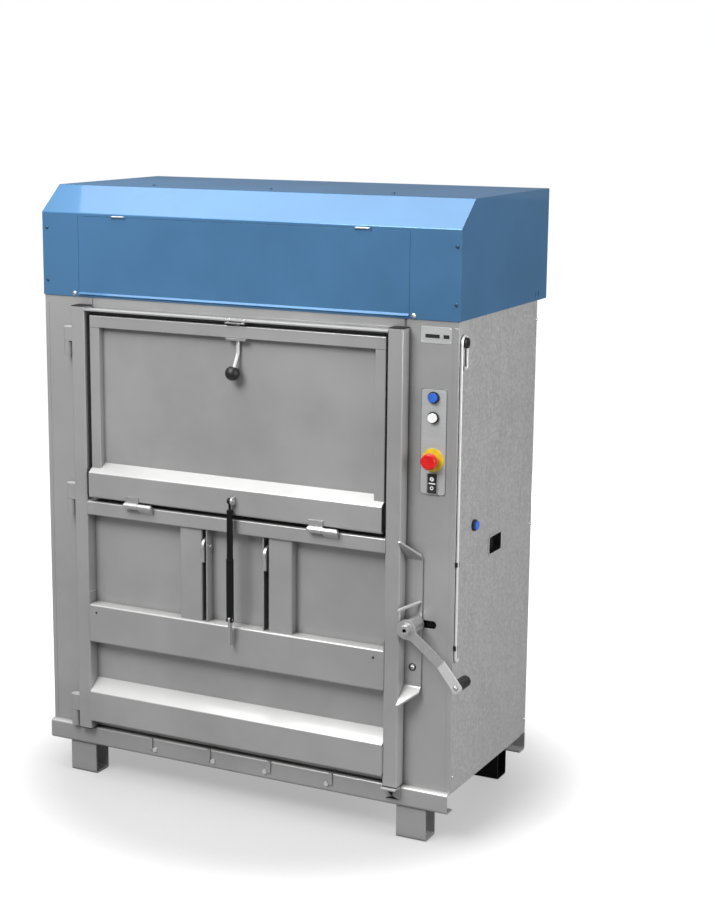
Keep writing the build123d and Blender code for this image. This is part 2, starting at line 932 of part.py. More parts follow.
with BuildPart() as stile_caps:
    for low in (stile_bottom - stile_cap, stile_top):
        with BuildSketch(Plane.XY.offset(low)):
            with Locations(*[(centre, stile_y) for centre in stile_centres]):
                RectangleRounded(stile, stile, stile_corner)
        extrude(amount=stile_cap)
stile_caps.part.label = "stile_caps"
export_step(stile_caps.part, "parts/stile_caps.step")

with BuildPart() as top_tie:
    with BuildSketch(facing_right(inner_left)):
        folded_sheet(
            [(door_back, tie_top - tie_drop), (door_back, tie_top), (door_front, tie_top)],
            tie_thickness,
            2 * tie_thickness,
        )
    extrude(amount=inner_right - inner_left)
    block(
        (latch_plate[0], door_front, keeper_bottom),
        (latch_plate[1], door_front + keeper_depth, keeper_bottom + keeper_thickness),
    )
    with BuildSketch(Plane.XY.offset(keeper_bottom + keeper_thickness)):
        with Locations(*[(x, door_front + keeper_depth / 4) for x in keeper_bolts]):
            Circle(hinge_pin)
    extrude(amount=keeper_spacer)
    with BuildSketch(Plane.XY.offset(tie_top)):
        with Locations(*[(x, door_front + keeper_depth / 4) for x in keeper_bolts]):
            RegularPolygon(hinge_pin, 6)
    extrude(amount=keeper_thickness)
    with BuildSketch(Plane.XY.offset(keeper_bottom)):
        with Locations((latch_x, latch_y)):
            Circle(latch_radius + latch_running)
    extrude(amount=tie_top - keeper_bottom, mode=Mode.SUBTRACT)
top_tie.part.label = "top_tie"
export_step(top_tie.part, "parts/top_tie.step")

# Lower door: a skin behind three cross members and the two strap channels
with BuildPart() as door_skin:
    block((inner_left, skin_front, stile_bottom), (inner_right, door_back, rail_top))
    with BuildSketch(facing_front(skin_front)):
        slot_centre = (channel_inner + flange_inner + flange_thickness) / 2
        slot_width = channel_inner - flange_inner - flange_thickness
        with Locations(*[(side * slot_centre, (slot_bottom + slot_top) / 2) for side in (-1, 1)]):
            SlotOverall(slot_top - slot_bottom, slot_width, rotation=90)
    extrude(amount=-skin, mode=Mode.SUBTRACT)
door_skin.part.label = "door_skin"
export_step(door_skin.part, "parts/door_skin.step")

with BuildPart() as door_top_rail:
    with BuildSketch(facing_right(inner_left)):
        rail_centre = ((door_front + skin_front) / 2, (rail_bottom + rail_top) / 2)
        square_tube(rail_centre, skin_front - door_front, rail_top - rail_bottom, stile_wall, stile_corner)
    extrude(amount=inner_right - inner_left)
door_top_rail.part.label = "door_top_rail"
export_step(door_top_rail.part, "parts/door_top_rail.step")

with BuildPart() as door_cross_member:
    with BuildSketch(facing_right(inner_left)):
        folded_sheet(
            [(skin_front, cross_top), (door_front, cross_top), (door_front, cross_bottom), (skin_front, cross_bottom)],
            member_wall,
            member_bend,
        )
    extrude(amount=inner_right - inner_left)
    with BuildSketch(facing_front(door_front)):
        hole_z = cross_top - cross_hole_drop
        with Locations((inner_left + cross_hole_inset[0], hole_z), (inner_right - cross_hole_inset[1], hole_z)):
            Circle(member_wall)
    extrude(amount=-member_wall, mode=Mode.SUBTRACT)
    with BuildSketch(facing_right(strut_x - fin_thickness / 2)):
        rectangle((strut_y - fin_half, fin_bottom), (door_front, cross_top - member_bend))
        rectangle((strut_y - fin_half, fin_bottom), (strut_y + fin_half, strut_bottom))
        with Locations((strut_y, strut_bottom)):
            Circle(fin_half)
    extrude(amount=fin_thickness)
    with BuildSketch(facing_right(strut_x - fin_thickness / 2 - fork_wall)):
        with Locations((strut_y, strut_bottom)):
            Circle(strut_eye_bore)
    extrude(amount=fin_thickness + 2 * fork_wall)
door_cross_member.part.label = "door_cross_member"
export_step(door_cross_member.part, "parts/door_cross_member.step")

with BuildPart() as door_bottom_member:
    with BuildSketch(facing_right(inner_left)):
        kick_front = door_front - kick_proud
        folded_sheet(
            [(skin_front, kick_top), (kick_front, kick_fold), (kick_front, kick_bottom), (skin_front, kick_bottom)],
            member_wall,
            member_bend,
        )
    extrude(amount=inner_right - inner_left)
    block((inner_left, skin_front, kick_fold), (inner_right, door_back, kick_top + stile), mode=Mode.SUBTRACT)
door_bottom_member.part.label = "door_bottom_member"
export_step(door_bottom_member.part, "parts/door_bottom_member.step")

with BuildPart() as strap_channels:
    with BuildSketch(Plane.XY.offset(cross_top)):
        outer = channel_inner + channel_width
        folded_sheet(
            [(-outer, skin_front), (-outer, channel_front), (-channel_inner, channel_front), (-channel_inner, skin_front)],
            member_wall,
            member_bend,
        )
        rectangle((-flange_inner - flange_thickness, channel_front), (-flange_inner, skin_front))
        folded_sheet(
            [(channel_inner, skin_front), (channel_inner, channel_front), (outer, channel_front), (outer, skin_front)],
            member_wall,
            member_bend,
        )
        rectangle((flange_inner, channel_front), (flange_inner + flange_thickness, skin_front))
    extrude(amount=rail_bottom - cross_top)
    pin_length = channel_inner + member_wall - flange_inner
    for start in (-flange_inner - pin_length, flange_inner):
        with BuildSketch(facing_right(start)):
            with Locations((cam_y, cam_z)):
                Circle(cam_pin)
        extrude(amount=pin_length)
    for start in (-flange_inner, flange_inner - cam_head_length):
        with BuildSketch(facing_right(start)):
            with Locations((cam_y, cam_z)):
                RegularPolygon(cam_head, 6)
        extrude(amount=cam_head_length)
strap_channels.part.label = "strap_channels"
export_step(strap_channels.part, "parts/strap_channels.step")

for name, side in (("strap_cam_left", -1), ("strap_cam_right", 1)):
    with BuildPart() as cam:
        with BuildSketch(facing_right(side * slot_centre - cam_thickness / 2)):
            tail_y = cam_y + cam_tail[0]
            tail_z = cam_z + cam_tail[1]
            with Locations((cam_y, cam_z)):
                Circle(cam_radius)
            Polygon(
                (cam_y - cam_radius * 0.9, cam_z - cam_radius * 0.43),
                (cam_y, cam_z - cam_radius),
                (tail_y + cam_tail_radius, tail_z),
                (tail_y - cam_tail_radius, tail_z),
                align=None,
            )
            with Locations((tail_y, tail_z)):
                Circle(cam_tail_radius)
            with Locations((cam_y, cam_z)):
                Circle(cam_pin + hinge_running, mode=Mode.SUBTRACT)
        extrude(amount=cam_thickness)
    cam.part.label = name
    export_step(cam.part, f"parts/{name}.step")

# Hatch hinges: the right half of each barrel is on the door's rail, the left half on the hatch
half_run = hatch_hinge_run / 2
with BuildPart() as hatch_hinge_leaves:
    for start in hatch_hinge_left:
        with BuildSketch(facing_right(start + half_run + hinge_split)):
            with Locations((hatch_axis_y, hatch_axis_z)):
                Circle(hatch_barrel)
        extrude(amount=half_run - hinge_split)
        with BuildSketch(facing_right(start + hatch_barrel)):
            with Locations((hatch_axis_y, hatch_axis_z)):
                Circle(hatch_pin)
        extrude(amount=half_run)
    right_tips = hatch_hinge_leaves.edges().filter_by(GeomType.CIRCLE).filter_by(
        lambda edge: any(abs(edge.center().X - start - hatch_hinge_run) < 1 for start in hatch_hinge_left)
    )
    chamfer(right_tips, length=hatch_bullet)
    for start in hatch_hinge_left:
        with BuildSketch(facing_right(start + half_run + hinge_split)):
            Polygon(
                (hatch_axis_y - hatch_barrel * 0.6, hatch_axis_z - hatch_barrel * 0.8),
                (door_front, rail_top - 2 * hatch_barrel),
                (door_front, rail_top - stile_corner),
                (hatch_axis_y + hatch_pin, hatch_axis_z),
                (hatch_axis_y, hatch_axis_z),
                align=None,
            )
        extrude(amount=half_run - hinge_split - hatch_bullet)
hatch_hinge_leaves.part.label = "hatch_hinge_leaves"
export_step(hatch_hinge_leaves.part, "parts/hatch_hinge_leaves.step")

with BuildPart() as hatch_hinge_knuckles:
    for start in hatch_hinge_left:
        with BuildSketch(facing_right(start)):
            with Locations((hatch_axis_y, hatch_axis_z)):
                Circle(hatch_barrel)
        extrude(amount=half_run)
    left_tips = hatch_hinge_knuckles.edges().filter_by(GeomType.CIRCLE).filter_by(
        lambda edge: any(abs(edge.center().X - start) < 1 for start in hatch_hinge_left)
    )
    chamfer(left_tips, length=hatch_bullet)
    for start in hatch_hinge_left:
        with BuildSketch(facing_right(start + hatch_bullet)):
            rectangle(
                (hatch_member_front - member_wall, hatch_axis_z),
                (hatch_member_front, hatch_bottom + 2 * hatch_barrel),
            )
        extrude(amount=half_run - hatch_bullet)
        with BuildSketch(facing_right(start + hatch_barrel - 1)):
            with Locations((hatch_axis_y, hatch_axis_z)):
                Circle(hatch_pin + hinge_running)
        extrude(amount=half_run, mode=Mode.SUBTRACT)
hatch_hinge_knuckles.part.label = "hatch_hinge_knuckles"
export_step(hatch_hinge_knuckles.part, "parts/hatch_hinge_knuckles.step")

# Hatch: a welded frame of three bars over a folded bottom member, with a sheet behind them
hatch_profile = [
    (hatch_sheet_front, hatch_slope_top),
    (hatch_member_front, hatch_fold),
    (hatch_member_front, hatch_bottom),
    (hatch_sheet_front, hatch_bottom),
]
with BuildPart() as hatch_frame:
    with BuildSketch(facing_front(hatch_sheet_front)):
        rectangle((hatch_left, hatch_bottom), (hatch_right, hatch_top))
        rectangle(
            (hatch_left + hatch_bar, hatch_bottom),
            (hatch_right - hatch_bar, hatch_top - hatch_head),
            mode=Mode.SUBTRACT,
        )
    extrude(amount=hatch_depth)
    fillet(hatch_frame.faces().sort_by(Axis.Y)[0].edges(), radius=3)
    with BuildSketch(facing_right(hatch_left)):
        Polygon(*hatch_profile, align=None)
    extrude(amount=hatch_right - hatch_left, mode=Mode.SUBTRACT)
    plate_top = hatch_top - hatch_head
    block(
        (latch_plate[0], hatch_front - latch_plate_proud, plate_top - latch_plate_thickness),
        (latch_plate[1], hatch_sheet_front, plate_top),
    )
    with BuildSketch(Plane.XY.offset(plate_top - latch_plate_thickness)):
        with Locations((latch_x, latch_y)):
            Circle(latch_radius + latch_running)
    extrude(amount=hatch_head + latch_plate_thickness, mode=Mode.SUBTRACT)
hatch_frame.part.label = "hatch_frame"
export_step(hatch_frame.part, "parts/hatch_frame.step")

with BuildPart() as hatch_bottom_member:
    with BuildSketch(facing_right(hatch_left)):
        folded_sheet(hatch_profile, member_wall, member_bend)
    extrude(amount=hatch_right - hatch_left)
    block(
        (hatch_left, hatch_sheet_front, hatch_fold),
        (hatch_right, hatch_sheet_front + hatch_bar, hatch_top),
        mode=Mode.SUBTRACT,
    )
    lug_start = strut_x + strut_eye_width / 2 + lug_gap
    with BuildSketch(facing_right(lug_start)):
        with Locations((strut_y, strut_top)):
            Circle(lug_radius)
        rectangle((strut_y, strut_top - lug_radius), (hatch_member_front, strut_top + lug_radius))
    extrude(amount=lug_thickness)
    with BuildSketch(facing_right(lug_start + lug_thickness)):
        with Locations((strut_y, strut_top)):
            RegularPolygon(lug_radius / 2, 6)
    extrude(amount=lug_thickness / 2)
hatch_bottom_member.part.label = "hatch_bottom_member"
export_step(hatch_bottom_member.part, "parts/hatch_bottom_member.step")

with BuildPart() as hatch_panel:
    block(
        (hatch_left, hatch_sheet_front, hatch_bottom),
        (hatch_right, hatch_sheet_front + hatch_sheet, hatch_top - hatch_sheet),
    )
hatch_panel.part.label = "hatch_panel"
export_step(hatch_panel.part, "parts/hatch_panel.step")

# Latch: a bent rod that slides up through the hatch's head into the keeper, with a ball knob
latch_top = keeper_bottom - latch_gap
bend_point = Vector(latch_x, latch_y, latch_bend_z)
end_point = Vector(latch_x + latch_end_step[0], latch_y + latch_end_step[1], latch_end_z)
rod_direction = (end_point - bend_point).normalized()
with BuildPart() as latch_rod:
    with BuildLine():
        FilletPolyline((latch_x, latch_y, latch_top), bend_point, end_point, radius=latch_bend)
    with BuildSketch(Plane.XY.offset(latch_top)):
        with Locations((latch_x, latch_y)):
            Circle(latch_radius)
    sweep()
latch_rod.part.label = "latch_rod"
export_step(latch_rod.part, "parts/latch_rod.step")

with BuildPart() as latch_knob:
    knob_side = rod_direction.cross(Vector(0, 1, 0)).normalized()
    with BuildSketch(Plane(origin=end_point, x_dir=rod_direction, z_dir=knob_side)):
        knob_start = math.acos(-knob_seat / knob_radius)
        Polygon((0, 0), *turned_arc(knob_radius, knob_seat, knob_start), align=None)
    revolve(axis=Axis(end_point, rod_direction))
latch_knob.part.label = "latch_knob"
export_step(latch_knob.part, "parts/latch_knob.step")

# Gas strut: a fork and cover tube on the door, and the cylinder that slides into it
with BuildPart() as strut_cover:
    with BuildSketch(Plane.XY.offset(strut_cover_low)):
        with Locations((strut_x, strut_y)):
            Circle(strut_cover_radius)
    extrude(amount=strut_cover_high - strut_cover_low)
    with BuildSketch(Plane.XY.offset(strut_cover_low + strut_floor)):
        with Locations((strut_x, strut_y)):
            Circle(strut_cylinder_radius + strut_gap)
    extrude(amount=strut_cover_high - strut_cover_low - strut_floor, mode=Mode.SUBTRACT)
    fork_inner = fin_thickness / 2 + fork_gap
    for start in (strut_x - fork_inner - fork_wall, strut_x + fork_inner):
        with BuildSketch(facing_right(start)):
            with Locations((strut_y, strut_bottom)):
                Circle(strut_eye_radius)
            rectangle(
                (strut_y - strut_eye_radius * 0.8, strut_bottom),
                (strut_y + strut_eye_radius * 0.8, strut_cover_low + strut_floor / 2),
            )
            with Locations((strut_y, strut_bottom)):
                Circle(strut_eye_bore + hinge_running, mode=Mode.SUBTRACT)
        extrude(amount=fork_wall)
strut_cover.part.label = "strut_cover"
export_step(strut_cover.part, "parts/strut_cover.step")

with BuildPart() as strut_cylinder:
    with BuildSketch(Plane.XY.offset(strut_cylinder_low)):
        with Locations((strut_x, strut_y)):
            Circle(strut_cylinder_radius)
    extrude(amount=strut_cylinder_high - strut_cylinder_low)
    with BuildSketch(Plane.XY.offset(strut_cylinder_high)):
        with Locations((strut_x, strut_y)):
            Circle(strut_eye_bore)
    extrude(amount=strut_top - strut_cylinder_high - strut_eye_radius / 2)
    with BuildSketch(facing_right(strut_x - strut_eye_width / 2)):
        with Locations((strut_y, strut_top)):
            Circle(strut_eye_radius)
            Circle(strut_eye_bore, mode=Mode.SUBTRACT)
    extrude(amount=strut_eye_width)
    with BuildSketch(facing_right(strut_x - strut_eye_width / 2)):
        with Locations((strut_y, strut_top)):
            Circle(strut_eye_bore)
    extrude(amount=strut_eye_width, mode=Mode.SUBTRACT)
strut_cylinder.part.label = "strut_cylinder"
export_step(strut_cylinder.part, "parts/strut_cylinder.step")

# Lock ear: a bent plate on the right stile with a boss for the lever's shaft and a guard strap
with BuildPart() as lock_ear:
    with BuildSketch(facing_right(door_right)):
        folded_sheet(
            [
                (ear_front - ear_reach, ear_top + ear_rise),
                (ear_front, ear_top),
                (ear_front, ear_bottom),
                (ear_front - ear_reach, ear_bottom - ear_fall),
            ],
            ear_thickness,
            2 * ear_thickness,
        )
    extrude(amount=ear_right - door_right)
    with BuildSketch(Plane.XY.offset(ear_bottom - ear_fall - ear_thickness)):
        Polygon(
            (ear_right + 1, ear_front - ear_stub),
            (ear_right + 1, ear_front - 2 * ear_reach),
            (door_right + ear_thickness, ear_front - 2 * ear_reach),
            (door_right + ear_thickness, ear_front - ear_reach),
            align=None,
        )
    extrude(amount=ear_top + ear_rise - ear_bottom + ear_fall + 3 * ear_thickness, mode=Mode.SUBTRACT)
    guard_corner = Vector(door_right + guard_front[0], ear_front + guard_front[1])
    guard_run = Vector(door_right + guard_foot, ear_front) - guard_corner
    guard_side = guard_run.normalized().cross(Vector(0, 0, 1))
    guard_steps = (guard_run.length + guard_thickness, 0, 0, guard_run.length + guard_thickness)
    with BuildSketch(Plane(origin=guard_corner, x_dir=guard_run, z_dir=guard_side)):
        folded_sheet(
            [(step, lock_z + height) for step, height in zip(guard_steps, guard_heights)],
            guard_thickness,
            guard_bend,
        )
    extrude(amount=guard_width / 2, both=True)
    block(
        (door_right, door_back, ear_bottom),
        (ear_right, door_back + guard_width, ear_top),
        mode=Mode.SUBTRACT,
    )
    with BuildSketch(facing_front(ear_front)):
        with Locations((lock_x, lock_z)):
            Circle(boss_radius)
    extrude(amount=boss_length)
    with BuildSketch(facing_front(door_back)):
        with Locations((lock_x, lock_z)):
            Circle(lock_shaft + lock_running)
    extrude(amount=boss_length + ear_thickness, mode=Mode.SUBTRACT)
lock_ear.part.label = "lock_ear"
export_step(lock_ear.part, "parts/lock_ear.step")

# Lever: an eye and a flat arm whose end is bent forward, a grip and the locking shaft
crease = Vector(lever_crease[0], (lever_back + lever_front) / 2, lever_crease[1])
arm_end = Vector(lever_end[0], crease.Y - lever_joggle, lever_end[1])
end_direction = (arm_end - crease).normalized()
end_normal = (Vector(0, -1, 0) - end_direction * Vector(0, -1, 0).dot(end_direction)).normalized()
arm_angle = math.degrees(math.atan2(lever_crease[1] - lock_z, lever_crease[0] - lock_x))
arm_length = math.hypot(lever_crease[0] - lock_x, lever_crease[1] - lock_z)
with BuildPart() as lever_arm:
    with BuildSketch(facing_front(lever_back)):
        with Locations((lock_x, lock_z)):
            Circle(lever_eye)
        with Locations(Location((lock_x, lock_z), arm_angle)):
            Rectangle(arm_length, lever_width, align=(Align.MIN, Align.CENTER))
        with Locations((lock_x, lock_z)):
            Circle(lock_stud + lock_stud_gap, mode=Mode.SUBTRACT)
    extrude(amount=lever_thickness)
    with BuildSketch(Plane(origin=crease, x_dir=end_direction, z_dir=end_normal)) as end_shape:
        reach = (arm_end - crease).length + grip_radius
        Polygon(
            (-lever_thickness / 2, -lever_width / 2),
            (reach, -lever_end_width / 2),
            (reach, lever_end_width / 2),
            (-lever_thickness / 2, lever_width / 2),
            align=None,
        )
        fillet(end_shape.vertices().sort_by(Axis.X)[-2:], radius=lever_end_corner)
    extrude(amount=lever_thickness / 2, both=True)
    with BuildSketch(facing_front(grip_seat)):
        with Locations(lever_end):
            Circle(lever_thickness)
    extrude(amount=grip_seat - arm_end.Y)
lever_arm.part.label = "lever_arm"
export_step(lever_arm.part, "parts/lever_arm.step")

with BuildPart() as lever_grip:
    grip_origin = Vector(lever_end[0], grip_seat, lever_end[1])
    grip_length = grip_back - grip_seat
    with BuildSketch(Plane(origin=grip_origin, x_dir=(0, 1, 0), z_dir=(1, 0, 0))):
        Polygon(
            (0, 0),
            (0, grip_radius - grip_edge),
            (grip_edge, grip_radius),
            *turned_arc(grip_radius, grip_length - grip_radius, math.pi / 2),
            align=None,
        )
    revolve(axis=Axis(grip_origin, (0, 1, 0)))
lever_grip.part.label = "lever_grip"
export_step(lever_grip.part, "parts/lever_grip.step")

with BuildPart() as lever_shaft:
    with BuildSketch(facing_front(ear_front)):
        with Locations((lock_x, lock_z)):
            Circle(lock_shaft)
    extrude(amount=ear_front - lever_back)
    with BuildSketch(facing_front(tongue_front)):
        with Locations((lock_x, lock_z)):
            Circle(lock_neck)
    extrude(amount=tongue_front - ear_front)
    block(
        (lock_x - tongue_left, tongue_front, lock_z - tongue_height / 2),
        (lock_x + tongue_right, tongue_front + tongue_thickness, lock_z + tongue_height / 2),
    )
    with BuildSketch(facing_front(lever_back)):
        with Locations((lock_x, lock_z)):
            Circle(lock_stud)
    extrude(amount=lever_thickness)
    with BuildSketch(facing_front(lever_front)):
        with Locations((lock_x, lock_z)):
            Circle(washer_radius)
    extrude(amount=washer_thickness)
    with BuildSketch(facing_front(lever_front - washer_thickness)):
        with Locations((lock_x, lock_z)):
            RegularPolygon(nut_radius, 6)
    extrude(amount=nut_thickness)
    with BuildSketch(facing_front(lever_front - washer_thickness - nut_thickness)):
        with Locations((lock_x, lock_z)):
            RegularPolygon(nut_socket, 6)
    extrude(amount=-nut_thickness / 2, mode=Mode.SUBTRACT)
lever_shaft.part.label = "lever_shaft"
export_step(lever_shaft.part, "parts/lever_shaft.step")

# Sill fittings: the strap hooks and the bracket that the closed door rests on
with BuildPart() as strap_hooks:
    with BuildSketch(facing_front(sill_front)):
        with Locations(*[(x, (hook_top + hook_bottom) / 2) for x in strap_lines]):
            SlotOverall(hook_top - hook_bottom, hook_width, rotation=90)
    extrude(amount=hook_thickness)
    with BuildSketch(facing_front(sill_front)):
        for x in strap_lines:
            inward = hook_disc_offset if x < 0 else -hook_disc_offset
            with Locations((x + inward, hook_bottom + 1)):
                Circle(hook_disc)
    extrude(amount=hook_disc_thickness)
strap_hooks.part.label = "strap_hooks"
export_step(strap_hooks.part, "parts/strap_hooks.step")

with BuildPart() as door_rest:
    rest_front = sill_front - rest_reach
    with BuildSketch(facing_right(inner_right)):
        rectangle((sill_front - rest_thickness, rest_bottom), (sill_front, sill_top))
        rectangle((rest_front, sill_top - rest_thickness), (sill_front, sill_top))
    extrude(amount=stile)
    with BuildSketch(facing_right(inner_right + rest_gusset_inset)):
        Polygon(
            (rest_front + rest_thickness, sill_top - rest_thickness),
            (sill_front - rest_thickness, rest_bottom + 2 * rest_thickness),
            (sill_front - rest_thickness, sill_top - rest_thickness),
            align=None,
        )
    extrude(amount=rest_thickness)
door_rest.part.label = "door_rest"
export_step(door_rest.part, "parts/door_rest.step")

# Controls: a plate with two buttons, a stop button and a rocker switch, and a box behind them
with BuildPart() as control_plate:
    with BuildSketch(facing_front(body_front)):
        with Locations((control_x, control_plate_z)):
            RectangleRounded(*control_plate_size, 4)
        with Locations((control_x, blue_z), (control_x, white_z)):
            Circle(bezel_barrel + barrel_gap, mode=Mode.SUBTRACT)
        with Locations((control_x, stop_z)):
            Circle(stop_hole, mode=Mode.SUBTRACT)
    extrude(amount=control_plate_thickness)
    with BuildSketch(facing_front(control_face)):
        with Locations((control_x, switch_z)):
            RectangleRounded(*switch_size, 3)
    extrude(amount=switch_frame_height)
    with BuildSketch(facing_front(control_face - switch_frame_height)):
        with Locations((control_x, switch_z)):
            Rectangle(switch_size[0] - 2 * switch_wall, switch_size[1] - 2 * switch_wall)
    extrude(amount=-switch_frame_height - control_plate_thickness, mode=Mode.SUBTRACT)
    with BuildSketch(facing_right(control_x - rocker_pin_reach)):
        with Locations((control_face, switch_z)):
            Circle(rocker_pin + hinge_running)
    extrude(amount=2 * rocker_pin_reach, mode=Mode.SUBTRACT)
control_plate.part.label = "control_plate"
export_step(control_plate.part, "parts/control_plate.step")

with BuildPart() as control_box:
    box_low = Vector(door_right, panel_back_face, stile_top - control_box_drop - control_box_size[2])
    box_high = box_low + Vector(*control_box_size)
    block(box_low, box_high)
    block(box_low + Vector(box_wall, 0, box_wall), box_high - Vector(box_wall, box_wall, box_wall), mode=Mode.SUBTRACT)
control_box.part.label = "control_box"
export_step(control_box.part, "parts/control_box.step")

# Each button place is a plane whose normal points out of the panel that holds it
blue_place = Plane(origin=(control_x, control_face, blue_z), x_dir=(1, 0, 0), z_dir=(0, -1, 0))
white_place = Plane(origin=(control_x, control_face, white_z), x_dir=(1, 0, 0), z_dir=(0, -1, 0))
side_place = Plane(origin=(half_body, side_button_y, side_button_z), x_dir=(0, 1, 0), z_dir=(1, 0, 0))
with BuildPart() as button_bezels:
    for place in (blue_place, white_place, side_place):
        with BuildSketch(place):
            Circle(bezel_radius)
        extrude(amount=bezel_height)
        with BuildSketch(place):
            Circle(bezel_barrel)
        extrude(amount=-bezel_depth)
        with BuildSketch(place.offset(1)):
            Circle(bezel_pocket)
        extrude(amount=bezel_height - 1, mode=Mode.SUBTRACT)
        with BuildSketch(place.offset(1)):
            Circle(bezel_bore)
        extrude(amount=-bezel_depth + 1, mode=Mode.SUBTRACT)
button_bezels.part.label = "button_bezels"
export_step(button_bezels.part, "parts/button_bezels.step")

for name, place in (("blue_button", blue_place), ("white_button", white_place), ("side_button", side_place)):
    with BuildPart() as button:
        cap_base = bezel_height + button_proud - button_thickness
        with BuildSketch(place.offset(cap_base)):
            Circle(button_radius)
        extrude(amount=button_thickness)
        with BuildSketch(place.offset(cap_base)):
            Circle(button_stem)
        extrude(amount=-button_stem_length)
    button.part.label = name
    export_step(button.part, f"parts/{name}.step")

stop_place = Plane(origin=(control_x, control_face, stop_z), x_dir=(1, 0, 0), z_dir=(0, -1, 0))
with BuildPart() as stop_collar:
    with BuildSketch(stop_place):
        Circle(stop_collar_radius)
        Circle(stop_stem + stop_stem_gap, mode=Mode.SUBTRACT)
    extrude(amount=stop_collar_thickness)
stop_collar.part.label = "stop_collar"
export_step(stop_collar.part, "parts/stop_collar.step")

with BuildPart() as stop_button:
    with BuildSketch(stop_place.offset(stop_proud - stop_head_thickness)):
        Circle(stop_head_radius)
    extrude(amount=stop_head_thickness, taper=4)
    with BuildSketch(stop_place.offset(-button_stem_length / 2)):
        Circle(stop_stem)
    extrude(amount=stop_proud - stop_head_thickness + button_stem_length / 2)
    fillet(stop_button.faces().sort_by(Axis.Y)[0].edges(), radius=stop_head_thickness / 4)
stop_button.part.label = "stop_button"
export_step(stop_button.part, "parts/stop_button.step")

with BuildPart() as power_switch:
    rocker_half_x = switch_size[0] / 2 - switch_wall - rocker_gap
    rocker_half_z = switch_size[1] / 2 - switch_wall - 2 * rocker_gap
    rocker_face = control_face - switch_frame_height - rocker_crown
    with BuildSketch(facing_right(control_x - rocker_half_x)):
        Polygon(
            (rocker_face, switch_z - rocker_half_z),
            (rocker_face + rocker_crown, switch_z),
            (rocker_face, switch_z + rocker_half_z),
            (rocker_face + rocker_depth, switch_z + rocker_half_z * 0.7),
            (rocker_face + rocker_depth, switch_z - rocker_half_z * 0.7),
            align=None,
        )
    extrude(amount=2 * rocker_half_x)
    with BuildSketch(facing_right(control_x - rocker_pin_reach + hinge_running)):
        with Locations((control_face, switch_z)):
            Circle(rocker_pin)
    extrude(amount=2 * rocker_pin_reach - 2 * hinge_running)
power_switch.part.label = "power_switch"
export_step(power_switch.part, "parts/power_switch.step")

# Right side: a recessed grip, and the strap tool on its peg
with BuildPart() as side_grip_cup:
    cup_width, cup_height = cup_size
    with BuildSketch(facing_right(half_body)):
        with Locations(cup_centre):
            RectangleRounded(cup_width + 2 * cup_flange, cup_height + 2 * cup_flange, cup_corner + cup_flange)
    extrude(amount=cup_wall)
    with BuildSketch(facing_right(half_body)):
        with Locations(cup_centre):
            RectangleRounded(cup_width - barrel_gap, cup_height - barrel_gap, cup_corner)
    extrude(amount=-cup_depth)
    with BuildSketch(facing_right(half_body + cup_wall)):
        with Locations(cup_centre):
            RectangleRounded(cup_width - 2 * cup_wall, cup_height - 2 * cup_wall, cup_corner - cup_wall)
    extrude(amount=-cup_depth, mode=Mode.SUBTRACT)
side_grip_cup.part.label = "side_grip_cup"
export_step(side_grip_cup.part, "parts/side_grip_cup.step")

hook_radius = peg_radius + peg_seat + tool_radius
peg_y = tool_y + hook_radius
with BuildPart() as strap_tool:
    with BuildLine(facing_right(tool_x)) as tool_path:
        far_y = tool_y + 2 * hook_radius
        ThreePointArc(
            (tool_y + 2 * tool_hook, tool_bottom),
            (tool_y + tool_hook, tool_bottom - tool_hook),
            (tool_y, tool_bottom),
        )
        Line((tool_y, tool_bottom), (tool_y, peg_z))
        ThreePointArc((tool_y, peg_z), (peg_y, peg_z + hook_radius), (far_y, peg_z))
        Line((far_y, peg_z), (far_y, tool_tip_z))
        ThreePointArc(
            (far_y, tool_tip_z),
            (far_y - tool_hook, tool_tip_z - tool_hook),
            (far_y - 2 * tool_hook, tool_tip_z),
        )
    with BuildSketch(Plane.XY.offset(tool_bottom)):
        with Locations((tool_x, tool_y + 2 * tool_hook)):
            Circle(tool_radius)
    sweep()
strap_tool.part.label = "strap_tool"
export_step(strap_tool.part, "parts/strap_tool.step")

with BuildPart() as tool_peg:
    with BuildSketch(facing_right(half_body)):
        with Locations((peg_y, peg_z)):
            Circle(peg_radius)
    extrude(amount=peg_length)
    with BuildSketch(facing_right(half_body + peg_length - peg_head_thickness)):
        with Locations((peg_y, peg_z)):
            Circle(peg_head)
    extrude(amount=peg_head_thickness)
    for rise in clip_rises:
        clip_low = Vector(half_body, tool_y - clip_size[1] / 2, tool_bottom + rise - clip_size[2] / 2)
        block(clip_low, clip_low + Vector(*clip_size))
        with BuildSketch(Plane.XY.offset(clip_low.Z)):
            with Locations((tool_x, tool_y)):
                Circle(tool_radius + peg_seat)
        extrude(amount=clip_size[2], mode=Mode.SUBTRACT)
tool_peg.part.label = "tool_peg"
export_step(tool_peg.part, "parts/tool_peg.step")
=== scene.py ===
# %% [markdown]
# # Dressing a recycling baler
# The CAD model gives every piece its true place and size. This script gives those pieces their
# finishes, adds the small fasteners and trim that CAD leaves out, and sets up the studio.
# Everything is in metres, in the CAD model's own frame: X right, Y to the back, Z up.

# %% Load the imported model
import json
import math

import bmesh
import bpy
from mathutils import Matrix, Vector
from mathutils.geometry import tessellate_polygon


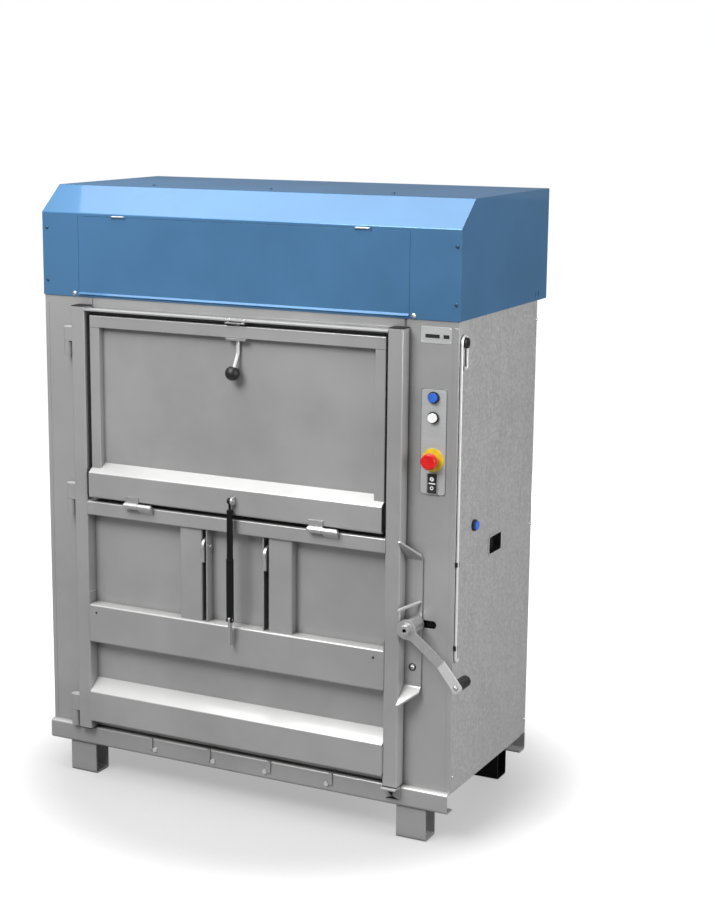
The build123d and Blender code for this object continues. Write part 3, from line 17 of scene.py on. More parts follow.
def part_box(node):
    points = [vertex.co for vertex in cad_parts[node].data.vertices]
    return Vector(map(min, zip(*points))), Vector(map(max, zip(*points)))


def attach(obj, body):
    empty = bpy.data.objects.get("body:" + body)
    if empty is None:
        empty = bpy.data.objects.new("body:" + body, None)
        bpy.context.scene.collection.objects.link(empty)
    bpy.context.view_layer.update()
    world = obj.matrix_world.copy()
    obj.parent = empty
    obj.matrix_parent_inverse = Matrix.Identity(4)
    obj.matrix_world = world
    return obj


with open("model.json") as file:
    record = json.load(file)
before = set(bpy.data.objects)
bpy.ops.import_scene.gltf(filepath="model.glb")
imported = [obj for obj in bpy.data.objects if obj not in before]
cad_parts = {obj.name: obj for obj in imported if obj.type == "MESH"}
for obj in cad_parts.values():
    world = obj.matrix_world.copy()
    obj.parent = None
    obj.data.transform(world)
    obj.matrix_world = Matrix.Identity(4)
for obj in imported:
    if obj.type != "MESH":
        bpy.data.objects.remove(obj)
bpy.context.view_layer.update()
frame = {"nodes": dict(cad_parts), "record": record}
nodes = frame["nodes"]

# %% [markdown]
# ## A small language for shaders
# Shader graphs are sums and products of masks. They could be wired node by node, as in the shader
# editor, but in a script that hides the idea. So a socket is wrapped in a class: arithmetic on it
# adds Math nodes, and one method adds any other node.

# %% Sockets that can be used in arithmetic


class Wire:
    """One output socket of a shader graph, which can be used as a number in an expression."""

    def __init__(self, graph, socket):
        self.graph = graph
        self.socket = socket

    def _math(self, operation, first, second):
        return self.graph.add("ShaderNodeMath", {"operation": operation}, {0: first, 1: second})

    def __add__(self, other):
        return self._math("ADD", self, other)

    def __sub__(self, other):
        return self._math("SUBTRACT", self, other)

    def __rsub__(self, other):
        return self._math("SUBTRACT", other, self)

    def __mul__(self, other):
        return self._math("MULTIPLY", self, other)

    __radd__ = __add__
    __rmul__ = __mul__

    def above(self, low, high):
        """0 where the value is under low, 1 where it is over high, and a smooth step between."""
        settings = {"interpolation_type": "SMOOTHSTEP"}
        inputs = {"Value": self, "From Min": low, "From Max": high}
        return self.graph.add("ShaderNodeMapRange", settings, inputs)


class Graph:
    """A node tree, with one method that adds a node of any type."""

    def __init__(self, tree):
        self.tree = tree

    def add(self, kind, settings=None, inputs=None, output=0):
        """Adds a node of any type, with its settings and then the values or links of its sockets."""
        item = self.tree.nodes.new(kind)
        for name, value in (settings or {}).items():
            setattr(item, name, value)
        for name, value in (inputs or {}).items():
            self.feed(item.inputs[name], value)
        return Wire(self, item.outputs[output])

    def feed(self, socket, value):
        """Links a wire into a socket, or sets a plain value on it."""
        if isinstance(value, Wire):
            self.tree.links.new(value.socket, socket)
        elif isinstance(value, (tuple, list)) and len(socket.default_value) == 4 and len(value) == 3:
            socket.default_value = (*value, 1)
        else:
            socket.default_value = value


print("shader language ready")

# %% [markdown]
# ## What every finish is made of
# Surfaces differ by place: edges wear and also take a painted highlight, gaps get painted shade,
# and faces that look up can be made paler. Those places could be painted by hand on each piece. Here
# they are masks worked out from the shape, so the same finish fits every piece: a bevelled normal
# that differs from the true one marks an edge, a point that sees little of the sky lies in a gap,
# and a normal that points up marks a top.

# %% A material with its masks
NOISE_ROUGHNESS = 0.55
BEVEL_SAMPLES = 6
SKY_SAMPLES = 5


class Finish(Graph):
    """A material under construction: its node tree, its shader and the object's coordinates."""

    def __init__(self, name):
        self.material = bpy.data.materials.new(name)
        self.material.use_nodes = True
        super().__init__(self.material.node_tree)
        self.shader = self.tree.nodes["Principled BSDF"]
        self.place = self.add("ShaderNodeTexCoord", {}, {}, "Object")

    def set(self, **values):
        """Sets the shader's sockets; an underscore stands for a space in a socket's name."""
        for name, value in values.items():
            self.feed(self.shader.inputs[name.replace("_", " ")], value)

    def noise(self, scale, detail, stretch=(1, 1, 1)):
        """Noise in the object's metres, stretched where a finish has a direction."""
        where = self.add("ShaderNodeVectorMath", {"operation": "MULTIPLY"}, {0: self.place, 1: stretch})
        inputs = {"Vector": where, "Scale": scale, "Detail": detail, "Roughness": NOISE_ROUGHNESS}
        return self.add("ShaderNodeTexNoise", {}, inputs)

    def blend(self, factor, first, second):
        """The first colour where the factor is 0, the second where it is 1."""
        inputs = {"Factor": factor, 6: first, 7: second}
        return self.add("ShaderNodeMix", {"data_type": "RGBA"}, inputs, 2)

    def true_normal(self):
        """The surface's own normal."""
        return self.add("ShaderNodeNewGeometry", {}, {}, "Normal")

    def rounded_normal(self, radius):
        """The normal that the surface would have if its edges were rounded."""
        return self.add("ShaderNodeBevel", {"samples": BEVEL_SAMPLES}, {"Radius": radius})

    def edges(self, radius):
        """1 along the outer edges of a piece and 0 on its faces."""
        inputs = {0: self.rounded_normal(radius), 1: self.true_normal()}
        same = self.add("ShaderNodeVectorMath", {"operation": "DOT_PRODUCT"}, inputs, 1)
        return (1 - same).above(0.01, 0.12)

    def gap_shade(self, distance=0.04):
        """1 deep in a gap and 0 on an open face, from how much of the sky each point misses, for painted
        shade.
        """
        settings = {"samples": SKY_SAMPLES}
        open_sky = self.add("ShaderNodeAmbientOcclusion", settings, {"Distance": distance}, "AO")
        return (1 - open_sky).above(0.3, 0.95)

    def upward(self, low, high):
        """0 where the normal's upward part is under low, and 1 where it is over high."""
        up = self.add("ShaderNodeSeparateXYZ", {}, {"Vector": self.true_normal()}, "Z")
        return up.above(low, high)

    def relief(self, height, distance, strength, radius):
        """A normal from a height, over edges that look broken."""
        inputs = {
            "Height": height,
            "Distance": distance,
            "Strength": strength,
            "Normal": self.rounded_normal(radius),
        }
        return self.add("ShaderNodeBump", {}, inputs)


def linear(red, green, blue):
    """A colour given as it looks on a screen, 0 to 255, as the values that a shader takes."""
    return tuple((v / 255) ** 2.2 for v in (red, green, blue))


print("finish masks ready")

# %% [markdown]
# ## Powder coat
# The machine's frame, door and front panels are powder coated: an even colour with a fine
# orange peel and a little uneven gloss. The edges are paler, partly a thinner, worn coat and partly
# a painted highlight. A plain colour would look like plastic, so the peel in the normal and the
# uneven roughness do most of the work. The powder holds a little metal flake, which is why the
# folds that face the lamps are so much brighter, and a thin clear layer over it carries the sharp
# reflections. Dust dulls that layer on level tops. The grey paint is made paler on faces that look
# up, and corners and gaps are darkened with painted shade.

# %% Powder-coated steel
LEVEL_TOPS = (0.9, 0.98)
LEDGES = (0.2, 0.6)
PEEL_DEPTH = 0.00006
PALE_TOP = linear(238, 238, 236)


def tinted(colour, factor, lift=0.0):
    """A colour made lighter or darker by a factor, and then lifted."""
    return tuple(min(1, v * factor + lift) for v in colour)


def powder_coat(name, colour, gloss=0.3, varnish=0.5, ledge_paling=0.0):
    """A powder coat of one colour, made paler on the faces that look up where asked for."""
    coat = Finish(name)
    tone = coat.noise(scale=2.2, detail=4)
    peel_cells = coat.noise(scale=420, detail=2)
    film = coat.noise(scale=38, detail=5).above(0.5, 0.85)
    base = coat.blend(tone.above(0.3, 0.7), tinted(colour, 0.9), tinted(colour, 1.08))
    # Faces that look up are made paler where asked for.
    if ledge_paling:
        base = coat.blend(coat.upward(*LEDGES) * ledge_paling, base, PALE_TOP)
    # Edges are paler: partly a thinner, worn coat and partly a painted highlight.
    base = coat.blend(coat.edges(0.002) * 0.5, base, tinted(colour, 1.25, 0.02))
    # Painted shade: corners and gaps are darkened towards a near-black copy of the colour.
    base = coat.blend(coat.gap_shade() * 0.75, base, tinted(colour, 0.12))
    coat.set(
        Base_Color=base,
        Roughness=gloss + tone * 0.08 + film * 0.07,
        Normal=coat.relief(peel_cells, PEEL_DEPTH, strength=0.6, radius=0.0012),
        Metallic=0.35,
        Specular_IOR_Level=0.1,
        Coat_Weight=varnish * (1 - coat.upward(*LEVEL_TOPS) * 0.9),
        Coat_Roughness=0.04,
    )
    return coat.material


grey_coat = powder_coat("grey_powder_coat", linear(164, 164, 164), ledge_paling=0.42)
blue_coat = powder_coat("blue_powder_coat", linear(80, 122, 162), gloss=0.26)
screw_coat = powder_coat("blue_screw_coat", linear(52, 78, 104))
black_coat = powder_coat("black_paint", linear(30, 30, 31), gloss=0.38, varnish=0.2)
print("powder coats ready")

# %% [markdown]
# ## Galvanised sheet
# The side and back panels are hot-dip galvanised. Fresh zinc mirrors softly, with a faint
# vertical grain from the rolling mill and a patchwork of crystals, the spangle. A picture of zinc
# would repeat and blur, so a Voronoi pattern gives each crystal its own tone, and stretched noise
# gives the grain.

# %% Galvanised sheet
SPANGLE_SCALE = 120
ALONG_Z = (1, 1, 0.02)


def galvanised(name):
    """Zinc-coated sheet with a spangle and a vertical grain."""
    zinc = Finish(name)
    inputs = {"Vector": zinc.place, "Scale": SPANGLE_SCALE}
    crystal = zinc.add("ShaderNodeTexVoronoi", {"feature": "F1"}, inputs, "Color")
    tone = zinc.add("ShaderNodeSeparateColor", {}, {"Color": crystal})
    grain = zinc.noise(scale=260, detail=2, stretch=ALONG_Z)
    cloud = zinc.noise(scale=3.5, detail=4)
    fleck = zinc.noise(scale=900, detail=2).above(0.62, 0.8)
    shade = tone * 0.35 + grain * 0.45 + cloud * 0.2
    base = zinc.blend(shade, linear(158, 159, 159), linear(206, 206, 205))
    base = zinc.blend(fleck * 0.35, base, linear(226, 226, 226))
    # Painted shade: gaps are darkened towards a dark grey.
    base = zinc.blend(zinc.gap_shade() * 0.6, base, linear(60, 60, 60))
    zinc.set(
        Base_Color=base,
        Metallic=0.6,
        Roughness=0.42 + grain * 0.16 + tone * 0.06,
        Normal=zinc.relief(grain, 0.00008, strength=0.35, radius=0.001),
    )
    return zinc.material


side_sheet = galvanised("galvanised_sheet")
print("galvanised sheet ready")

# %% [markdown]
# ## Bright metal
# The lever, pins, hinges and rods are zinc plated: bright, slightly streaky, never a perfect
# mirror. The chamber's plates are bare steel, darker, with mill scale and scratches from waste. The
# control foil and the rating plate are brushed aluminium. A plain metal shader would mirror the
# white studio and look flat, so streaks and stains give the eye something to hold. On the zinc the
# edges are lighter, partly wear and partly a painted highlight, and gaps are darkened as painted shade.

# %% Zinc plate, bare steel and brushed aluminium
DRAWN_ALONG_Z = (1, 1, 0.04)
ROLLED_ALONG_X = (0.03, 1, 1)
BRUSHED_ALONG_X = (0.02, 1, 1)


def bright_zinc(name, stretch=(1, 1, 1), low=194, high=220, metal=0.9):
    """Zinc plate with soft streaks and a few darker stains, between two tones of grey."""
    plate = Finish(name)
    streak = plate.noise(scale=150, detail=3, stretch=stretch)
    stain = plate.noise(scale=24, detail=4).above(0.52, 0.8)
    base = plate.blend(streak, linear(low, low, low), linear(high, high, high))
    base = plate.blend(stain * 0.25, base, linear(160, 161, 160))
    # Edges are lightened to near white, partly wear and partly a painted highlight.
    base = plate.blend(plate.edges(0.0012) * 0.5, base, linear(240, 240, 238))
    # Painted shade: gaps are darkened.
    base = plate.blend(plate.gap_shade(0.012) * 0.8, base, linear(48, 48, 49))
    plate.set(
        Base_Color=base,
        Metallic=metal,
        Roughness=0.3 + streak * 0.12 + stain * 0.08,
        Normal=plate.relief(streak, 0.00005, strength=0.4, radius=0.0008),
    )
    return plate.material


def mill_steel(name):
    """Bare plate with mill scale and long scratches."""
    steel = Finish(name)
    scale = steel.noise(scale=5, detail=8).above(0.25, 0.8)
    scratch = steel.noise(scale=300, detail=2, stretch=ROLLED_ALONG_X).above(0.66, 0.7)
    base = steel.blend(scale, linear(112, 113, 116), linear(142, 143, 145))
    base = steel.blend(scratch * 0.6, base, linear(190, 192, 194))
    steel.set(
        Base_Color=base,
        Metallic=0.9,
        Roughness=0.42 + scale * 0.15,
        Normal=steel.relief(scratch, 0.0001, strength=0.4, radius=0.0008),
    )
    return steel.material


def brushed(name):
    """Anodised aluminium, brushed along X, as on a control plate."""
    metal = Finish(name)
    line = metal.noise(scale=700, detail=2, stretch=BRUSHED_ALONG_X)
    metal.set(
        Base_Color=metal.blend(line, linear(170, 171, 172), linear(198, 199, 199)),
        Metallic=0.45,
        Roughness=0.34 + line * 0.2,
        Normal=metal.relief(line, 0.00003, strength=0.5, radius=0.0004),
    )
    return metal.material


zinc_plate = bright_zinc("zinc_plate")
zinc_drawn = bright_zinc("zinc_plate_drawn", stretch=DRAWN_ALONG_Z, low=206, high=230, metal=0.4)
zinc_brighter = bright_zinc("zinc_plate_brighter", low=206, high=226, metal=0.5)
bare_steel = mill_steel("mill_steel")
brushed_plate = brushed("brushed_plate")
print("metals ready")

# %% [markdown]
# ## Moulded plastic
# Caps, grips and knobs have a fine spark-eroded grain from the mould; buttons are smooth and glossy.
# The two could be separate materials, but only the roughness and the depth of the grain differ, so
# one function makes both.

# %% Plastics
MATTE_GRAIN = 0.00008
CAP_GRAIN = 0.0001
GLOSSY_GRAIN = 0.00001


def plastic(name, colour, rough, grain=GLOSSY_GRAIN):
    """Moulded plastic, with a grain for a matte part and almost none for a glossy one."""
    part = Finish(name)
    pits = part.noise(scale=1400, detail=2)
    film = part.noise(scale=30, detail=4)
    part.set(
        Base_Color=part.blend(film.above(0.35, 0.7), colour, tinted(colour, 1.25, 0.004)),
        Roughness=rough + film * 0.1,
        Normal=part.relief(pits, grain, strength=0.5, radius=0.0006),
    )
    return part.material


black_plastic = plastic("black_plastic", linear(26, 26, 27), 0.42, MATTE_GRAIN)
cap_plastic = plastic("cap_plastic", linear(20, 20, 20), 0.85, CAP_GRAIN)
yellow_plastic = plastic("yellow_plastic", linear(206, 180, 48), 0.3)
red_plastic = plastic("red_plastic", linear(196, 28, 28), 0.22)
blue_plastic = plastic("blue_plastic", linear(52, 98, 190), 0.25)
white_plastic = plastic("white_plastic", linear(232, 232, 230), 0.22)
print("plastics ready")

# %% [markdown]
# ## Giving the CAD pieces their finishes
# Each CAD node keeps its mesh, and only its material slots change. The record already says
# which finish each node has, so a table from the record's slots to the materials is enough,
# with a few nodes that need their own.

# %% Assign the finishes
finish_of_slot = {
    "grey_paint": grey_coat,
    "blue_paint": blue_coat,
    "black_paint": black_coat,
    "galvanised": side_sheet,
    "zinc": zinc_plate,
    "bare_steel": bare_steel,
    "brushed_plate": brushed_plate,
    "black_plastic": black_plastic,
    "yellow_plastic": yellow_plastic,
    "red_plastic": red_plastic,
    "blue_plastic": blue_plastic,
    "white_plastic": white_plastic,
}
finish_of_node = {
    "strap_tool": zinc_drawn,
    "latch_rod": zinc_drawn,
    "press_rod": zinc_drawn,
    "stile_caps": cap_plastic,
    "button_bezels": black_plastic,
    "control_plate": grey_coat,
    "strap_hooks": grey_coat,
}
for entry in frame["record"]["subparts"]:
    name = entry["node"]
    material = finish_of_node.get(name, finish_of_slot[entry["material_slot"]])
    nodes[name].data.materials.clear()
    nodes[name].data.materials.append(material)

# %% [markdown]
# ## Faces with a finish of their own
# A few nodes hold welded or bolted pieces of another finish: the latch's zinc plates on the
# painted frames and the lock's bright boss on its painted ear. The tongue on the zinc shaft is
# painted black as painted shade where it shows through its slot, and the crank's end is given a
# brighter zinc as painted light. Cutting the meshes apart would lose the CAD nodes, so a test on
# each face's centre picks those faces, and the mesh itself stays as it is.

# %% A brush for faces
LOCK_X, LOCK_Z = 0.624, 0.706


def paint_faces(node, material, chosen):
    """Gives a material to the faces of a node whose centre passes a test."""
    mesh = nodes[node].data
    mesh.materials.append(material)
    index = len(mesh.materials) - 1
    count = 0
    for face in mesh.polygons:
        if chosen(nodes[node].matrix_world @ face.center):
            face.material_index = index
            count += 1
    print("faces painted on", node, count)


def within(value, span):
    """Whether a value lies between the two ends of a span."""
    return span[0] < value < span[1]


def near_lock(point, reach):
    """Whether a point lies within a reach of the lock's axis."""
    return math.hypot(point.x - LOCK_X, point.z - LOCK_Z) < reach


print("face brush ready, lock axis at", LOCK_X, LOCK_Z)

# %% The latch's plates
KEEPER_X = (-0.03, 0.045)
KEEPER_FOOT_Z = (1.5965, 1.6048)
KEEPER_TOP_Z = 1.6102
GUIDE_X = (-0.0285, 0.0425)
GUIDE_Z = (1.5435, 1.5512)


def on_keeper(point):
    """Whether a point lies on the latch's keeper, which is welded to the door's tie."""
    return within(point.x, KEEPER_X) and (within(point.z, KEEPER_FOOT_Z) or point.z > KEEPER_TOP_Z)


paint_faces("top_tie", zinc_plate, on_keeper)
paint_faces("hatch_frame", zinc_plate, lambda p: within(p.x, GUIDE_X) and within(p.z, GUIDE_Z))

# %% The lock and its crank
BOSS_RADIUS = 0.0262
BOSS_BACK_Y = -0.3335
TONGUE_FRONT_Y = -0.3215
SOCKET_RADIUS = 0.0085
NUT_FACE_Y = -0.418
CRANK_KINK_X = 0.749
paint_faces("lock_ear", zinc_plate, lambda p: near_lock(p, BOSS_RADIUS) and p.y < BOSS_BACK_Y)
# Painted shade: the tongue is painted black where it shows through its slot.
paint_faces("lever_shaft", black_coat, lambda p: p.y > TONGUE_FRONT_Y)
paint_faces("lever_shaft", black_coat, lambda p: near_lock(p, SOCKET_RADIUS) and p.y < NUT_FACE_Y)
# Painted light: the crank's end beyond its kink faces up towards the lamps, so it gets the brighter
# zinc.
paint_faces("lever_arm", zinc_brighter, lambda p: p.x > CRANK_KINK_X)

# %% The strap hooks' discs, the grip's rim and the door's rest
STRAP_LINES = (-0.335, -0.11, 0.116, 0.341)
DISC_OFFSET = 0.0145
DISC_RADIUS = 0.0085
DISC_TOP_Z = 0.144
DISC_FRONT_Y = -0.3552
CUP_HALF_WIDTH = 0.0485
CUP_HALF_HEIGHT = 0.0275
CUP_RIM_X = 0.7435
REST_GUSSET_X = (0.5555, 0.5615)
REST_GUSSET_TOP_Z = 0.1688
cup_middle = sum(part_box("side_grip_cup"), Vector()) / 2


def on_hook_disc(point):
    """Whether a point lies on the bright disc beside a strap hook, outside the hook itself."""
    beside = min(abs(abs(point.x - line) - DISC_OFFSET) for line in STRAP_LINES)
    return beside < DISC_RADIUS and point.z < DISC_TOP_Z and point.y > DISC_FRONT_Y


def in_cup(point):
    """Whether a point lies within the opening of the recessed grip."""
    beside = abs(point.y - cup_middle.y) < CUP_HALF_WIDTH
    return beside and abs(point.z - cup_middle.z) < CUP_HALF_HEIGHT


def on_rest_bracket(point):
    """Whether a point lies on the bracket that carries the door, and not on its gusset, which keeps its
    black finish as painted shade.
    """
    return not within(point.x, REST_GUSSET_X) or point.z > REST_GUSSET_TOP_Z


paint_faces("strap_hooks", zinc_brighter, on_hook_disc)
paint_faces("side_grip_cup", side_sheet, lambda p: p.x > CUP_RIM_X and not in_cup(p))
# Painted shade: the gusset under the rest's tongue keeps its black finish, and the rest of the bracket
# is grey.
paint_faces("door_rest", grey_coat, on_rest_bracket)

# %% [markdown]
# ## Helpers for small pieces
# Screws, washers and rings are turned shapes: one profile of radius and height, spun about its
# axis. Flat trim is a rounded outline given a thickness. Modifiers could do both, but a mesh built
# corner by corner is exact and exports as it is. The meshes are built straight in the frame's own
# metres, and each piece rides on the body that it is fixed to.

# %% Where a piece sits and what it becomes
FRONT = Vector((0, -1, 0))
BACK = Vector((0, 1, 0))
RIGHT = Vector((1, 0, 0))
UP = Vector((0, 0, 1))
SMOOTH_ANGLE = math.radians(35)
SAME_CORNER = 1e-6


def finish_piece(builder, name, material, body):
    """Turns a bmesh into a shaded object that rides on a body."""
    mesh = bpy.data.meshes.new(name)
    bmesh.ops.remove_doubles(builder, verts=builder.verts, dist=SAME_CORNER)
    bmesh.ops.recalc_face_normals(builder, faces=builder.faces)
    builder.to_mesh(mesh)
    builder.free()
    mesh.materials.append(material)
    piece = bpy.data.objects.new(name, mesh)
    bpy.context.scene.collection.objects.link(piece)
    mesh.shade_smooth()
    mesh.set_sharp_from_angle(angle=SMOOTH_ANGLE)
    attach(piece, body)


def facing(origin, normal):
    """A matrix whose Z axis is a surface's normal, at a point of that surface."""
    normal = Vector(normal).normalized()
    side = RIGHT if abs(normal.x) < 0.9 else BACK
    up = normal.cross(side).normalized()
    side = up.cross(normal)
    turn = Matrix((side, up, normal)).transposed().to_4x4()
    return Matrix.Translation(origin) @ turn


print("placing helpers ready")

# %% Turned pieces
BAR_SIDES = 10


def ring_of_corners(builder, place, radius, height, count):
    """Corners round the Z axis of a place, or a single one where the radius is nothing."""
    if radius == 0:
        return [builder.verts.new(place @ Vector((0, 0, height)))]
    angles = [2 * math.pi * step / count for step in range(count)]
    points = [Vector((radius * math.cos(a), radius * math.sin(a), height)) for a in angles]
    return [builder.verts.new(place @ point) for point in points]


def join_rings(builder, low, high):
    """Faces between two rings of corners, of which one may be a single corner."""
    count = max(len(low), len(high))
    for step in range(count):
        after = (step + 1) % count
        around = ((low, step), (low, after), (high, after), (high, step))
        corners = dict.fromkeys(ring[index % len(ring)] for ring, index in around)
        builder.faces.new(list(corners))


def spin_profile(builder, profile, place, segments, closed=False):
    """Spins (radius, height) pairs about the Z axis of a place; a closed profile makes a ring."""
    rings = [ring_of_corners(builder, place, radius, height, segments) for radius, height in profile]
    for low, high in zip(rings, rings[1:]):
        join_rings(builder, low, high)
    if closed:
        join_rings(builder, rings[-1], rings[0])
        return
    for ring in (rings[0], rings[-1]):
        if len(ring) > 1:
            builder.faces.new(ring)


def bar_along(builder, points, radius):
    """A round bar through a few points."""
    rings = []
    for index, point in enumerate(points):
        before = points[max(0, index - 1)]
        after = points[min(len(points) - 1, index + 1)]
        rings.append(ring_of_corners(builder, facing(point, after - before), radius, 0, BAR_SIDES))
    for low, high in zip(rings, rings[1:]):
        join_rings(builder, low, high)
    builder.faces.new(rings[0])
    builder.faces.new(rings[-1])


print("turning helpers ready")

# %% Rounded plates
QUARTERS = ((1, 1), (-1, 1), (-1, -1), (1, -1))
BROKEN_EDGE = 0.0004


def rounded_loop(centre, width, height, corner, steps=6):
    """Points round a rectangle with round corners."""
    points = []
    for quarter, (across, along) in enumerate(QUARTERS):
        x = centre[0] + across * (width / 2 - corner)
        y = centre[1] + along * (height / 2 - corner)
        angles = [math.pi / 2 * (quarter + step / steps) for step in range(steps + 1)]
        points += [(x + corner * math.cos(a), y + corner * math.sin(a)) for a in angles]
    return points


def rounded_plate(builder, place, width, height, thickness, corner, bevel=BROKEN_EDGE):
    """A flat plate with round corners and a broken edge, on the XY plane of a place."""
    outline = rounded_loop((0, 0), width, height, corner)
    layers = []
    for shrink, level in ((0, 0), (0, thickness - bevel), (bevel, thickness)):
        narrower, shorter = 1 - 2 * shrink / width, 1 - 2 * shrink / height
        points = [Vector((x * narrower, y * shorter, level)) for x, y in outline]
        layers.append([builder.verts.new(place @ point) for point in points])
    for low, high in zip(layers, layers[1:]):
        join_rings(builder, low, high)
    builder.faces.new(layers[-1])
    builder.faces.new(layers[0])


print("plate helpers ready")

# %% [markdown]
# ## Screws
# The hood is held by flanged dome screws of a darker blue, and its flap by two bright ones. A dome
# screw is a flange, a dome and a socket. A full model of one would have its thread too, but only
# the head shows, so one profile spun about its axis is enough. Its foot sinks a little into the
# sheet, so that no gap shows under it.

# %% Fasteners
SEAT = 0.0004
SCREW_SEGMENTS = 24


def dome_screw(builder, point, normal, radius):
    """A dome screw with a flange and a socket."""
    profile = [
        (radius * 1.25, -SEAT),
        (radius * 1.25, radius * 0.12),
        (radius * 1.12, radius * 0.2),
        (radius, radius * 0.22),
        (radius * 0.94, radius * 0.5),
        (radius * 0.72, radius * 0.78),
        (radius * 0.45, radius * 0.9),
        (radius * 0.4, radius * 0.88),
        (radius * 0.4, radius * 0.45),
        (0, radius * 0.4),
    ]
    spin_profile(builder, profile, facing(point, normal), SCREW_SEGMENTS)


def screw_set(name, body, material, radius, spots):
    """Several dome screws in one piece, each at a point with the normal of its sheet."""
    builder = bmesh.new()
    for point, normal in spots:
        dome_screw(builder, Vector(point), normal, radius)
    finish_piece(builder, name, material, body)
    print(name, len(spots))


print("screw helpers ready")

# %% Screws of the hood and its flap
HOOD_SCREW_RADIUS = 0.005
HOOD_SCREW_X = (-0.728, 0.733)
HOOD_SCREW_Z = (1.865, 1.693)
HOOD_TOP_SCREW_X = (-0.435, 0.004, 0.434)
HOOD_TOP_SCREW_Y = -0.135
FLAP_SCREW_RADIUS = 0.0065
FLAP_SCREW_X = (-0.623, 0.596)
FLAP_SCREW_Z = 1.6535
hood_low, hood_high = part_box("hood")
hood_spots = [((x, hood_low.y, z), FRONT) for x in HOOD_SCREW_X for z in HOOD_SCREW_Z]
hood_spots += [((x, HOOD_TOP_SCREW_Y, hood_high.z), UP) for x in HOOD_TOP_SCREW_X]
flap_spots = [((x, hood_low.y, FLAP_SCREW_Z), FRONT) for x in FLAP_SCREW_X]
screw_set("hood_screws", "cabinet", screw_coat, HOOD_SCREW_RADIUS, hood_spots)
screw_set("flap_lock_screws", "cabinet", zinc_plate, FLAP_SCREW_RADIUS, flap_spots)

# %% [markdown]
# ## Weld seams
# A welded door shows a bead wherever two tubes meet. A smooth bar would look like a rubber seal. A
# real bead is a row of overlapping ripples, so its radius rises and falls a little along a thin bar.

# %% Weld beads on the door
WELD_RADIUS = 0.0022
WELD_PITCH = 0.0035
WELD_NECK = 0.82
WELD_SEGMENTS = 8
TUBE_CORNER = 0.004
CROSS_CORNER = 0.006
TIE_WELD_Z = 1.61
KICK_WELD_LIFT = 0.01
KICK_FOLD_Z = 0.305


def weld_bead(builder, start, end):
    """A rippled bead from one point to another."""
    start, end = Vector(start), Vector(end)
    length = (end - start).length
    steps = 2 * max(2, int(length / WELD_PITCH))
    profile = [(0, 0)]
    for step in range(steps + 1):
        swell = 1.0 if step % 2 else WELD_NECK
        profile.append((WELD_RADIUS * swell, length * step / steps))
    profile.append((0, length))
    spin_profile(builder, profile, facing(start, end - start), WELD_SEGMENTS)


rail_low, rail_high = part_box("door_top_rail")
cross_low, cross_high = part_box("door_cross_member")
tie_low, tie_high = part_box("top_tie")
kick_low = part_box("door_bottom_member")[0]
kick_y = kick_low.y + TUBE_CORNER
builder = bmesh.new()
for x in (rail_low.x, rail_high.x):
    beads = (
        ((rail_low.y + TUBE_CORNER, rail_high.z), (rail_high.y, rail_high.z)),
        ((rail_low.y, rail_low.z + TUBE_CORNER), (rail_low.y, rail_high.z - TUBE_CORNER)),
        ((rail_low.y, cross_low.z + CROSS_CORNER), (rail_low.y, cross_high.z - CROSS_CORNER)),
        ((rail_low.y + CROSS_CORNER, cross_high.z), (rail_high.y, cross_high.z)),
        ((tie_low.y + TUBE_CORNER, TIE_WELD_Z), (tie_high.y, TIE_WELD_Z)),
        ((kick_y, kick_low.z + KICK_WELD_LIFT), (kick_y, KICK_FOLD_Z)),
    )
    for start, end in beads:
        weld_bead(builder, (x, *start), (x, *end))
finish_piece(builder, "door_welds", grey_coat, "door")
print("weld beads added:", 2 * len(beads))

# %% [markdown]
# ## Rating plate
# A blank rating plate sits at the top of the right front panel. Flat things like this could be a
# patch of colour in the paint, but then the light would cross them as if they weren't there. The
# rounded corners, the rivets and the broken edge make it a plate.

# %% Rating plate with its windows and rivets
PLATE_X, PLATE_Z = 0.6695, 1.6
PLATE_WIDTH, PLATE_HEIGHT = 0.1, 0.05
PLATE_THICKNESS = 0.0012
PLATE_CORNER = 0.003
WINDOW_PLACES = ((-0.012, 0.046), (0.033, 0.019))
WINDOW_HEIGHT = 0.011
WINDOW_DROP = 0.003
RIVET_RADIUS = 0.0016
RIVET_X, RIVET_Z = 0.046, 0.021
panel_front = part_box("front_panel_right")[0].y
plate_centre = Vector((PLATE_X, panel_front, PLATE_Z))
plate_place = facing(plate_centre, FRONT)
builder = bmesh.new()
rounded_plate(builder, plate_place, PLATE_WIDTH, PLATE_HEIGHT, PLATE_THICKNESS, PLATE_CORNER)
finish_piece(builder, "rating_plate", brushed_plate, "cabinet")
builder = bmesh.new()
for offset, width in WINDOW_PLACES:
    window = plate_centre + Vector((offset, -PLATE_THICKNESS, -WINDOW_DROP))
    place = facing(window, FRONT)
    rounded_plate(builder, place, width, WINDOW_HEIGHT, thickness=0.0006, corner=0.001, bevel=0.0002)
finish_piece(builder, "rating_plate_windows", black_plastic, "cabinet")
rivet_spots = [
    (plate_centre + Vector((x, -PLATE_THICKNESS, z)), FRONT)
    for x in (-RIVET_X, RIVET_X)
    for z in (-RIVET_Z, RIVET_Z)
]
screw_set("rating_plate_rivets", "cabinet", zinc_plate, RIVET_RADIUS, rivet_spots)
print("rating plate added")

# %% [markdown]
# ## Bolts of the lock
# The guard round the lock is bolted through the ear, and a screw holds the grip at the crank's end.
# A dark ring round the bolt's head is painted shade in the hole round the bolt. The ring is the same
# spinning again, with a profile that closes on itself. The crank's screw rides on the lever, so it
# turns with it.

